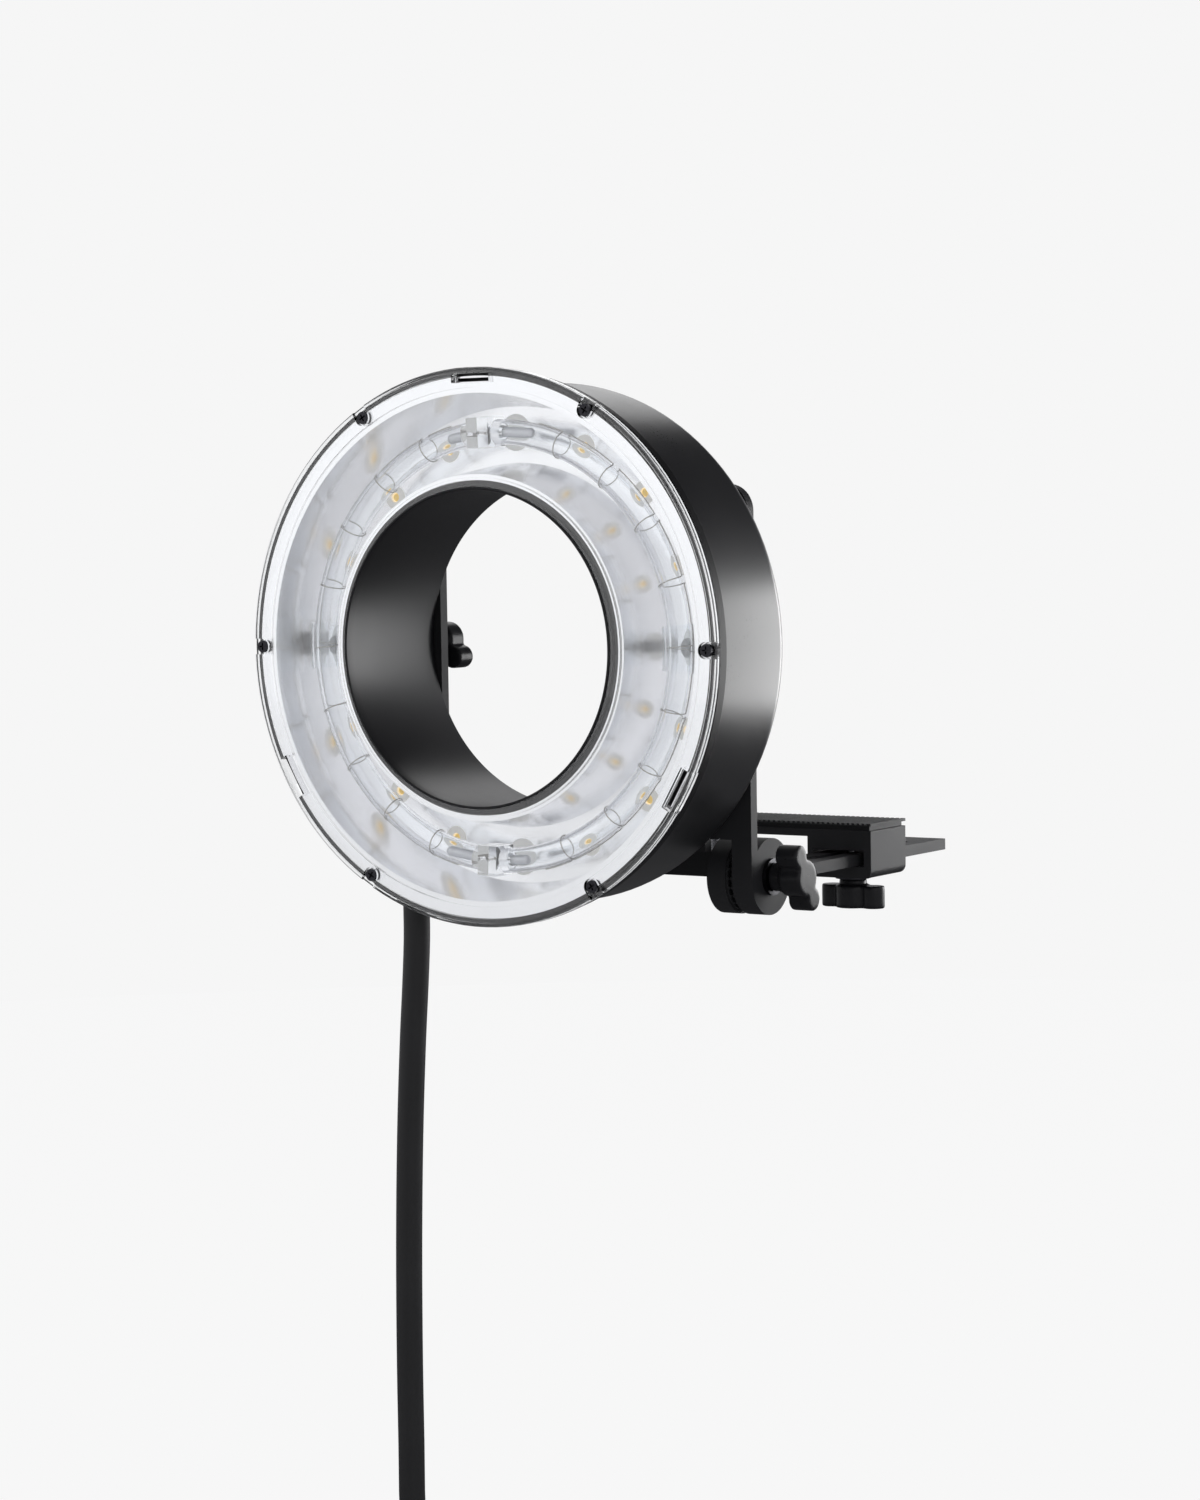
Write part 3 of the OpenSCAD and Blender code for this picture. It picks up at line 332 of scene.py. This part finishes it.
def lathed(name, body, corners, sides=256):
    """A piece turned about the ring axis from a profile of (radius, depth, rounding) corners."""
    line = rounded_profile(corners)
    work = bmesh.new()
    rings = []
    for i in range(sides):
        angle = 2 * math.pi * i / sides
        rings.append([
            work.verts.new(Vector((
                point.x * math.cos(angle), FRONT_Y + point.y, AXIS_Z + point.x * math.sin(angle),
            )) * MM)
            for point in line
        ])
    for i in range(sides):
        near, far = rings[i], rings[(i + 1) % sides]
        for j in range(len(line)):
            k = (j + 1) % len(line)
            work.faces.new((near[j], near[k], far[k], far[j]))
    bmesh.ops.recalc_face_normals(work, faces=work.faces)
    mesh = bpy.data.meshes.new(f"{name}_piece")
    work.to_mesh(mesh)
    work.free()
    smooth_by_angle(mesh)
    piece = add_object(f"{name}_piece", mesh)
    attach(piece, body)
    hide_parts(name)
    return piece


# Every CAD piece is shaded evenly. The pieces made below stand for those whose edges show.
for cad in nodes.values():
    smooth_by_angle(cad.data)

# Each piece's body, the width of its rounded edges in millimetres, and the steps across them.
EDGES = {
    "front_bezel": ("ring", 0.4, 2), "outer_drum": ("ring", 0.4, 2), "lamps": ("ring", 0.5, 3),
    "rear_cover": ("ring", 0.3, 2), "plug_shell": ("ring", 0.5, 2), "yoke": ("yoke", 0.35, 2),
    "slide_fork": ("slide_fork", 0.35, 2), "camera_plate": ("camera_base", 0.4, 2),
    "rubber_pad": ("camera_base", 0.12, 1),
}
made = {"front_cover": polished("front_cover", "ring")}
for name, (body, width, segments) in EDGES.items():
    made[name] = edged(name, body, width, segments)
for side in ("left", "right"):
    for place in ("ring", "hinge", "clamp"):
        wing = f"{place}_wing_{side}"
        made[wing] = moulded(wing, f"{place}_knob_{side}")
# The bore's wall: a thin lip at the front, a flange outside it, and a cone that opens to the rear.
made["inner_barrel"] = lathed("inner_barrel", "ring", [
    (52.3, -0.5, 0.25), (53.2, -0.5, 0.25), (53.2, 3.5, 0), (55.3, 3.5, 0.2), (55.3, 5.5, 0.2),
    (53.9, 5.5, 0), (57.7, 56.3, 0.3), (56.5, 56.3, 0.4), (52.55, 3.5, 6),
])


# Of the points in each pitch of the trigger wire, these shares come before and in its close turn.
STRAIGHT_SHARE = 0.36
TURN_SHARE = 0.28
TURN_END = STRAIGHT_SHARE + TURN_SHARE
POINTS_PER_PITCH = 30
WIRE_SIDES = 6
# The close turn takes a tenth of the way along the tube, and the wire runs straight for the rest.
TURN_WAY = 0.1
STRAIGHT_WAY = (1 - TURN_WAY) / 2


def trigger_wire(side, middle):
    """A thin wire that runs along the flash tube and takes one close turn every few degrees."""
    radius = (TUBE_WIDE + TRIGGER_WIDE) / 2 + TRIGGER_ROOM
    start = middle - TRIGGER_TURNS * TRIGGER_PITCH / 2
    points = []
    for i in range(TRIGGER_TURNS * POINTS_PER_PITCH + 1):
        turned = i / POINTS_PER_PITCH
        part = turned % 1
        tight = min(max((part - STRAIGHT_SHARE) / TURN_SHARE, 0), 1)
        phase = 2 * math.pi * (math.floor(turned) + tight)
        straight = min(part, STRAIGHT_SHARE) + max(part - TURN_END, 0)
        along = math.floor(turned) + straight / STRAIGHT_SHARE * STRAIGHT_WAY + TURN_WAY * tight
        angle = math.radians(start + along * TRIGGER_PITCH)
        out = LIGHT_RADIUS + radius * math.cos(phase)
        depth = TUBE_DEPTH + radius * math.sin(phase)
        points.append((out * math.cos(angle), FRONT_Y + depth, AXIS_Z + out * math.sin(angle)))
    line = smooth_line(points, steps=2)
    wire = add_tube(f"trigger_wire_{side}_piece", line, TRIGGER_WIDE, WIRE_SIDES, "ring")
    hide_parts(f"trigger_wire_{side}")
    return wire


made["trigger_wire_right"] = trigger_wire("right", 0)
made["trigger_wire_left"] = trigger_wire("left", 180)


# Materials

def add(tree, kind, inputs=None, **settings):
    """Adds a shader node with its settings, its fixed values and the links into it."""
    made_node = tree.nodes.new(kind)
    for name, value in settings.items():
        setattr(made_node, name, value)
    for socket, value in (inputs or {}).items():
        if isinstance(value, bpy.types.NodeSocket):
            tree.links.new(value, made_node.inputs[socket])
        else:
            made_node.inputs[socket].default_value = value
    return made_node


def new_material(name, **shader):
    """A material with one Principled shader. Returns the material, its tree and the shader."""
    material = bpy.data.materials.new(name)
    material.use_nodes = True
    tree = material.node_tree
    tree.nodes.clear()
    inputs = {key.replace("_", " ").title().replace("Ior", "IOR"): v for key, v in shader.items()}
    principled = add(tree, "ShaderNodeBsdfPrincipled", inputs)
    add(tree, "ShaderNodeOutputMaterial", {"Surface": principled.outputs["BSDF"]})
    return material, tree, principled


def per_metre(millimetres):
    """The scale that gives a noise features of this size."""
    return 1 / (millimetres * MM)


# The part of the grain's noise that is spread over a material's colours.
NOISE_LOW = 0.12
NOISE_HIGH = 0.4
# The size of the grain's slow waves, in millimetres.
SLOW_WAVE = 40


def grain(tree, principled, colours, size, strength, rough=None, height=0.02, stretch=(1, 1, 1)):
    """Varies colour and roughness, and raises a bump, by a noise whose features have a size.

    The size and the bump's height are in millimetres. Real grains are mostly finer than a pixel
    of the render, so they are drawn at least 0.3 mm across to show.
    """
    place = add(tree, "ShaderNodeTexCoord")
    scaled = add(tree, "ShaderNodeMapping", {"Vector": place.outputs["Object"], "Scale": stretch})
    fine = add(tree, "ShaderNodeTexNoise", {
        "Vector": scaled.outputs["Vector"], "Scale": per_metre(size), "Detail": 4.0,
        "Roughness": 0.55,
    })
    broad = add(tree, "ShaderNodeTexNoise", {
        "Vector": place.outputs["Object"], "Scale": per_metre(SLOW_WAVE), "Detail": 3.0,
    })
    both = add(tree, "ShaderNodeMath", {
        0: fine.outputs["Fac"], 1: broad.outputs["Fac"],
    }, operation="MULTIPLY")
    spread = add(tree, "ShaderNodeMapRange", {
        "Value": both.outputs[0], "From Min": NOISE_LOW, "From Max": NOISE_HIGH,
    })
    tint = add(tree, "ShaderNodeValToRGB", {"Fac": spread.outputs["Result"]})
    tint.color_ramp.elements[0].color = linear(colours[0])
    tint.color_ramp.elements[1].color = linear(colours[1])
    tree.links.new(tint.outputs["Color"], principled.inputs["Base Color"])
    if rough:
        shine = add(tree, "ShaderNodeMapRange", {
            "Value": both.outputs[0], "From Min": NOISE_LOW, "From Max": NOISE_HIGH,
            "To Min": rough[0], "To Max": rough[1],
        })
        tree.links.new(shine.outputs["Result"], principled.inputs["Roughness"])
    if strength:
        bump = add(tree, "ShaderNodeBump", {
            "Height": fine.outputs["Fac"], "Strength": strength, "Distance": height * MM,
        })
        tree.links.new(bump.outputs["Normal"], principled.inputs["Normal"])


def wavy(tree, principled, size, detail, strength, height):
    """Gives a smooth surface slow waves, with their size and height in millimetres."""
    place = add(tree, "ShaderNodeTexCoord")
    wave = add(tree, "ShaderNodeTexNoise", {
        "Vector": place.outputs["Object"], "Scale": per_metre(size), "Detail": detail,
    })
    bump = add(tree, "ShaderNodeBump", {
        "Height": wave.outputs["Fac"], "Strength": strength, "Distance": height * MM,
    })
    tree.links.new(bump.outputs["Normal"], principled.inputs["Normal"])


def hazy(tree, principled, size, detail, low, high):
    """Varies the roughness in patches of a size in millimetres. Returns the patches."""
    place = add(tree, "ShaderNodeTexCoord")
    patches = add(tree, "ShaderNodeTexNoise", {
        "Vector": place.outputs["Object"], "Scale": per_metre(size), "Detail": detail,
    })
    haze = add(tree, "ShaderNodeMapRange", {
        "Value": patches.outputs["Fac"], "To Min": low, "To Max": high,
    })
    tree.links.new(haze.outputs["Result"], principled.inputs["Roughness"])
    return patches


# Shells this far apart, in millimetres, draw the rings that spinning leaves on the reflector.
SPIN_SHELLS = 1.745
# The strap's threads lie this far apart, in millimetres.
THREADS = 0.9


def make_materials():
    """Every finish of the ring flash, by its name."""
    kinds = {}

    # Polycarbonate, injection moulded and polished: clear, with a faint slow wave in the surface.
    kinds["clear_polycarbonate"], tree, principled = new_material(
        "clear_polycarbonate", base_color=linear("#FBFCFD"), roughness=0.02, ior=1.585,
        transmission_weight=1.0,
    )
    wavy(tree, principled, size=18, detail=2, strength=0.15, height=0.3)

    # Borosilicate glass, drawn as tube and bent hot: clear and bright, its wall faintly wavy.
    kinds["borosilicate_glass"], tree, principled = new_material(
        "borosilicate_glass", base_color=linear("#FDFEFF"), roughness=0.0, ior=1.47,
        transmission_weight=1.0,
    )
    wavy(tree, principled, size=9, detail=1, strength=0.2, height=0.2)

    # Silicone, moulded clear: nearly glass clear, with cloudy spots that blur what lies behind.
    kinds["clear_silicone"], tree, principled = new_material(
        "clear_silicone", base_color=linear("#FBFCFD"), ior=1.41, transmission_weight=1.0,
    )
    hazy(tree, principled, size=2.5, detail=3, low=0.01, high=0.08)

    # Polycarbonate lens rings, moulded frosted: pale and cloudy, with a faint painted glow that
    # brightens them in the shade of the reflector.
    kinds["frosted_polycarbonate"], tree, principled = new_material(
        "frosted_polycarbonate", roughness=0.35, ior=1.585, specular_ior_level=0.3,
        emission_color=linear("#F4F1EA"), emission_strength=0.33,
    )
    grain(tree, principled, ("#E9EBED", "#F2F3F4"), 0.5, 0.15)

    # Aluminium sheet, spun and polished: a bright mirror with faint rings left by spinning.
    kinds["spun_aluminium"], tree, principled = new_material("spun_aluminium", metallic=1.0)
    place = add(tree, "ShaderNodeTexCoord")
    centred = add(tree, "ShaderNodeMapping", {
        "Vector": place.outputs["Object"], "Location": (0, 0, -AXIS_Z * MM),
        "Scale": (1, 0.4, 1),
    })
    # The wave node's phase grows by 20 radians for each of its units.
    rings = add(tree, "ShaderNodeTexWave", {
        "Vector": centred.outputs["Vector"], "Scale": math.tau / 20 * per_metre(SPIN_SHELLS),
        "Distortion": 1.2, "Detail": 3.0, "Detail Scale": 2.0,
    }, wave_type="RINGS", rings_direction="SPHERICAL")
    bump = add(tree, "ShaderNodeBump", {
        "Height": rings.outputs["Fac"], "Strength": 0.05, "Distance": 0.02 * MM,
    })
    tree.links.new(bump.outputs["Normal"], principled.inputs["Normal"])
    smear = hazy(tree, principled, size=22, detail=4, low=0.14, high=0.26)
    tint = add(tree, "ShaderNodeValToRGB", {"Fac": smear.outputs["Fac"]})
    tint.color_ramp.elements[0].color = linear("#F3F3F5")
    tint.color_ramp.elements[1].color = linear("#FAFAFB")
    tree.links.new(tint.outputs["Color"], principled.inputs["Base Color"])

    # Powder coat on the drum: a satin black skin with a very fine orange peel.
    kinds["satin_powder_coat"], tree, principled = new_material(
        "satin_powder_coat", ior=1.5, specular_ior_level=0.7,
    )
    grain(tree, principled, ("#1A1A1C", "#202022"), 0.5, 0.2, (0.27, 0.33), 0.02)

    # ABS, moulded black: an even satin with a fine spark-eroded grain.
    kinds["black_abs"], tree, principled = new_material(
        "black_abs", ior=1.53, specular_ior_level=0.18,
    )
    grain(tree, principled, ("#101012", "#151517"), 0.35, 0.3, (0.36, 0.46), 0.03)

    # Black lacquer, sprayed in the bore: a soft satin that takes one broad streak of light.
    kinds["bore_lacquer"], tree, principled = new_material(
        "bore_lacquer", ior=1.5, specular_ior_level=0.22,
    )
    grain(tree, principled, ("#1A1A1C", "#1F1F21"), 0.45, 0.2, (0.33, 0.4), 0.02)

    # Aluminium bar, milled, bead blasted and anodised black: dull satin with a dusting of light.
    kinds["black_anodised_aluminium"], tree, principled = new_material(
        "black_anodised_aluminium", ior=1.5, specular_ior_level=0.22,
    )
    grain(tree, principled, ("#202022", "#28282A"), 0.3, 0.3, (0.5, 0.62), 0.03)

    # Black nylon knobs, moulded: dark and smooth, with soft waves from the mould.
    kinds["gloss_black_nylon"], tree, principled = new_material(
        "gloss_black_nylon", ior=1.53, specular_ior_level=0.16,
    )
    grain(tree, principled, ("#1A1A1C", "#202022"), 2.5, 0.12, (0.26, 0.34), 0.1)

    # Soft PVC, extruded over the flash cord: matt black with a fine drawn grain.
    kinds["black_pvc"], tree, principled = new_material("black_pvc", ior=1.53)
    grain(tree, principled, ("#161618", "#1E1E20"), 0.8, 0.25, (0.42, 0.55), 0.05)

    # Nitrile rubber, moulded with ribs for the camera plate: dead matt, with a grey bloom.
    kinds["nitrile_rubber"], tree, principled = new_material("nitrile_rubber", ior=1.52)
    grain(tree, principled, ("#141416", "#1E1F21"), 0.6, 0.4, (0.6, 0.75), 0.06)

    # Steel screws, finished in black oxide: dark metal with worn glints.
    kinds["black_oxide_steel"], tree, principled = new_material("black_oxide_steel", metallic=1.0)
    grain(tree, principled, ("#2A2A2D", "#4A4A4E"), 0.4, 0.2, (0.28, 0.42), 0.02)

    # Steel, turned and bright zinc plated: a clean grey shine with a faint grain.
    kinds["zinc_plated_steel"], tree, principled = new_material("zinc_plated_steel", metallic=1.0)
    grain(tree, principled, ("#A9AAAE", "#C9CACD"), 0.5, 0.2, (0.2, 0.34), 0.02)

    # Nickel wire, drawn: a thin grey line that glints.
    kinds["nickel_wire"], tree, principled = new_material("nickel_wire", metallic=1.0)
    grain(tree, principled, ("#97948F", "#AEABA6"), 0.6, 0.1, (0.25, 0.35), 0.01)

    # Tungsten electrodes, sintered and polished: pale grey metal with a soft shine.
    kinds["sintered_tungsten"], tree, principled = new_material("sintered_tungsten", metallic=1.0)
    grain(tree, principled, ("#D2D3D7", "#E2E3E6"), 0.4, 0.3, (0.35, 0.5), 0.02)

    # Silicone, moulded pale grey: matt legs under the clips.
    kinds["pale_silicone"], tree, principled = new_material(
        "pale_silicone", ior=1.41, subsurface_weight=0.15,
    )
    principled.inputs["Subsurface Radius"].default_value = [2 * MM] * 3
    grain(tree, principled, ("#EBECEE", "#F4F4F6"), 0.8, 0.2, (0.45, 0.6), 0.03)

    # Epoxy board with white solder lacquer, with a faint painted glow that brightens it in the
    # shade of the reflector.
    kinds["white_solder_lacquer"], tree, principled = new_material(
        "white_solder_lacquer", ior=1.5, emission_color=linear("#F1F1EE"), emission_strength=0.27,
    )
    grain(tree, principled, ("#EDEEEF", "#F5F5F6"), 0.7, 0.1, (0.35, 0.45), 0.02)

    # Yellow phosphor gel over each lamp chip, with a faint painted glow that brightens it deep in
    # its hole.
    kinds["phosphor_gel"], tree, principled = new_material(
        "phosphor_gel", ior=1.41, emission_color=linear("#F7D374"), emission_strength=0.36,
    )
    grain(tree, principled, ("#E3BC5A", "#F2D484"), 0.8, 0.1, (0.3, 0.4), 0.02)

    # Brass, turned: warm yellow and bright.
    kinds["turned_brass"], tree, principled = new_material("turned_brass", metallic=1.0)
    grain(tree, principled, ("#B08A48", "#C9A35C"), 0.5, 0.15, (0.2, 0.32), 0.02)

    # Enamelled copper winding under varnish: brown, with fine ridges along the wire.
    kinds["varnished_winding"], tree, principled = new_material("varnished_winding", ior=1.5)
    grain(tree, principled, ("#5A3A22", "#74502F"), 0.4, 0.4, (0.3, 0.45), 0.05, (0.1, 1, 1))

    # Polyamide of a terminal block, moulded: green and even.
    kinds["green_polyamide"], tree, principled = new_material("green_polyamide", ior=1.53)
    grain(tree, principled, ("#456347", "#537456"), 0.5, 0.2, (0.4, 0.5), 0.03)

    # Polyester strap, woven: a plain black weave. Its rows are a quarter of the brick node's unit.
    kinds["woven_polyester"], tree, principled = new_material(
        "woven_polyester", ior=1.5, sheen_weight=0.3, roughness=0.8,
    )
    place = add(tree, "ShaderNodeTexCoord")
    weave = add(tree, "ShaderNodeTexBrick", {
        "Vector": place.outputs["Object"], "Scale": per_metre(4 * THREADS),
        "Color1": linear("#2A2A2D"), "Color2": linear("#333337"), "Mortar": linear("#161618"),
        "Mortar Size": 0.04,
    })
    tree.links.new(weave.outputs["Color"], principled.inputs["Base Color"])
    bump = add(tree, "ShaderNodeBump", {
        "Height": weave.outputs["Fac"], "Strength": 0.5, "Distance": 0.2 * MM,
    }, invert=True)
    tree.links.new(bump.outputs["Normal"], principled.inputs["Normal"])
    return kinds


WEARS = {
    "clear_polycarbonate": ["front_cover"],
    "black_oxide_steel": ["cover_screws", "rear_cover_screws", "hinge_washers", "clamp_washers",
                          "ring_washers"],
    "satin_powder_coat": ["outer_drum"],
    "black_abs": ["front_bezel", "rear_cover", "plug_shell"],
    "bore_lacquer": ["inner_barrel"],
    "spun_aluminium": ["reflector"],
    "borosilicate_glass": ["flash_tube_left", "flash_tube_right"],
    "sintered_tungsten": ["electrodes"],
    "clear_silicone": ["tube_joiners", "tube_clips"],
    "pale_silicone": ["tube_legs"],
    "nickel_wire": ["trigger_wire_left", "trigger_wire_right", "tube_leads"],
    "white_solder_lacquer": ["lamp_board"],
    "phosphor_gel": ["lamps"],
    "frosted_polycarbonate": ["lamp_rings"],
    "zinc_plated_steel": ["board_screws", "screw_washer", "camera_screw", "ring_stud_left",
                          "ring_stud_right", "hinge_stud_left", "hinge_stud_right",
                          "clamp_stud_left", "clamp_stud_right"],
    "varnished_winding": ["trigger_transformer"],
    "green_polyamide": ["terminal_block"],
    "turned_brass": ["knob_inserts", "plug_contacts"],
    "black_pvc": ["strain_relief", "cord", "cord_coil", "plug_boot"],
    "woven_polyester": ["coil_tie"],
    "black_anodised_aluminium": ["yoke", "slide_fork", "camera_plate"],
    "nitrile_rubber": ["rubber_pad"],
    "gloss_black_nylon": ["ring_wing_left", "ring_wing_right", "hinge_wing_left",
                          "hinge_wing_right", "clamp_wing_left", "clamp_wing_right"],
}


def dress(piece, material):
    """Gives a piece this material alone."""
    piece.data.materials.clear()
    piece.data.materials.append(material)


materials = make_materials()
for kind, names in WEARS.items():
    for name in names:
        dress(nodes[name], materials[kind])
        if name in made:
            dress(made[name], materials[kind])
dress(cord, materials["black_pvc"])


# Studio: a plain pale floor and soft lights

PALE = linear("#F6F6F6")

# The floor's radius, and how far it lies under the plug, in metres.
FLOOR_RADIUS = 3
FLOOR_DROP = 0.02


def make_floor():
    """A level round floor under the hanging plug, as pale as what lies past its edge."""
    floor_z = CAD_BOX[0].z - FLOOR_DROP
    mesh = bpy.data.meshes.new("floor")
    corners = [
        (FLOOR_RADIUS * math.cos(a), FLOOR_RADIUS * math.sin(a), floor_z)
        for a in (math.radians(degrees) for degrees in range(0, 360, 5))
    ]
    mesh.from_pydata(corners, [], [range(len(corners))])
    floor = add_object("floor", mesh)
    # Matt studio paper. The camera and clear pieces see the even tone of the photograph's
    # background, and black pieces mirror the same paper in the dark of the studio.
    paint, tree, principled = new_material("floor_paper", roughness=0.9)
    principled.inputs["Base Color"].default_value = linear("#D8D8D8")
    seen = add(tree, "ShaderNodeLightPath")
    shade = principled.outputs["BSDF"]
    for ray, tone, strength, share in (
        ("Is Glossy Ray", "#38383B", 1.0, 0.9), ("Is Transmission Ray", "#F4F4F5", 1.0, 0.97),
        ("Is Camera Ray", "#F6F6F6", 1.023, 0.97),
    ):
        even = add(tree, "ShaderNodeEmission", {"Color": linear(tone), "Strength": strength})
        part = add(tree, "ShaderNodeMath", {0: seen.outputs[ray], 1: share}, operation="MULTIPLY")
        mix = add(tree, "ShaderNodeMixShader", {
            0: part.outputs[0], 1: shade, 2: even.outputs["Emission"],
        })
        shade = mix.outputs["Shader"]
    output = next(n for n in tree.nodes if n.type == "OUTPUT_MATERIAL")
    tree.links.new(shade, output.inputs["Surface"])
    dress(floor, paint)


def make_world():
    """Even pale light for what the camera and clear pieces see, and a soft sky for the rest."""
    world = bpy.data.worlds.new("studio")
    bpy.context.scene.world = world
    world.use_nodes = True
    tree = world.node_tree
    tree.nodes.clear()
    seen = add(tree, "ShaderNodeLightPath")
    place = add(tree, "ShaderNodeTexCoord")
    height = add(tree, "ShaderNodeSeparateXYZ", {"Vector": place.outputs["Generated"]})
    steep = add(tree, "ShaderNodeMath", {0: height.outputs["Z"]}, operation="ABSOLUTE")
    # Pale at eye level, and darker high up and low down as a studio's ceiling and floor are.
    # The first sky is what clear pieces see, and the second is what shiny pieces mirror.
    skies = []
    for low, high, pale, dark in (
        (0.3, 0.9, "#F6F6F6", "#D8D8DC"), (0.06, 0.42, "#E6E6E9", "#2E2E30"),
    ):
        ramp = add(tree, "ShaderNodeValToRGB", {"Fac": steep.outputs[0]})
        ramp.color_ramp.elements[0].position = low
        ramp.color_ramp.elements[0].color = linear(pale)
        ramp.color_ramp.elements[1].position = high
        ramp.color_ramp.elements[1].color = linear(dark)
        skies.append(add(tree, "ShaderNodeBackground", {
            "Color": ramp.outputs["Color"], "Strength": 1.0,
        }))
    ambient = add(tree, "ShaderNodeBackground", {"Color": linear("#F2F3F6"), "Strength": 0.65})
    direct = add(tree, "ShaderNodeBackground", {"Color": PALE, "Strength": 1.0})
    shade = ambient
    for ray, sky in (
        ("Is Glossy Ray", skies[1]), ("Is Transmission Ray", skies[0]), ("Is Camera Ray", direct),
    ):
        shade = add(tree, "ShaderNodeMixShader", {
            0: seen.outputs[ray], 1: shade.outputs[0], 2: sky.outputs[0],
        })
    add(tree, "ShaderNodeOutputWorld", {"Surface": shade.outputs[0]})


def add_softbox(name, place, target, wide, tall, power):
    """An area lamp that faces a target, with its sides in metres and its power in watts."""
    lamp = bpy.data.lights.new(name, "AREA")
    lamp.shape = "RECTANGLE"
    lamp.size = wide
    lamp.size_y = tall
    lamp.energy = power
    box = add_object(name, lamp)
    box.location = Vector(place)
    box.rotation_mode = "QUATERNION"
    box.rotation_quaternion = (Vector(target) - Vector(place)).to_track_quat("-Z", "Y")


make_floor()
make_world()

# What the lamps face, in metres.
HEAD = (0, -0.115, 0.066)
DRUM_SIDE = (0.088, -0.09, 0.066)
add_softbox("softbox_rear_right", (0.19, 0.23, 0.05), DRUM_SIDE, 0.15, 0.2, 0.74)
add_softbox("softbox_top", (-0.5, 0.1, 1.6), HEAD, 2.0, 2.0, 8)
add_softbox("softbox_rear_top", (-0.74, 1.5, 0.86), HEAD, 0.6, 0.6, 1.7)
add_softbox("softbox_front_left", (-1.5, -1.9, 1.3), HEAD, 3.2, 3.2, 8)
add_softbox("softbox_front_right", (2.2, -1.3, 0.9), HEAD, 2.0, 2.0, 6.5)

# Enough bounces for light to leave the reflector through the tubes and the cover.
paths = bpy.context.scene.cycles
paths.max_bounces = 32
paths.glossy_bounces = 12
paths.transmission_bounces = 28

bpy.context.scene.view_settings.view_transform = "Standard"
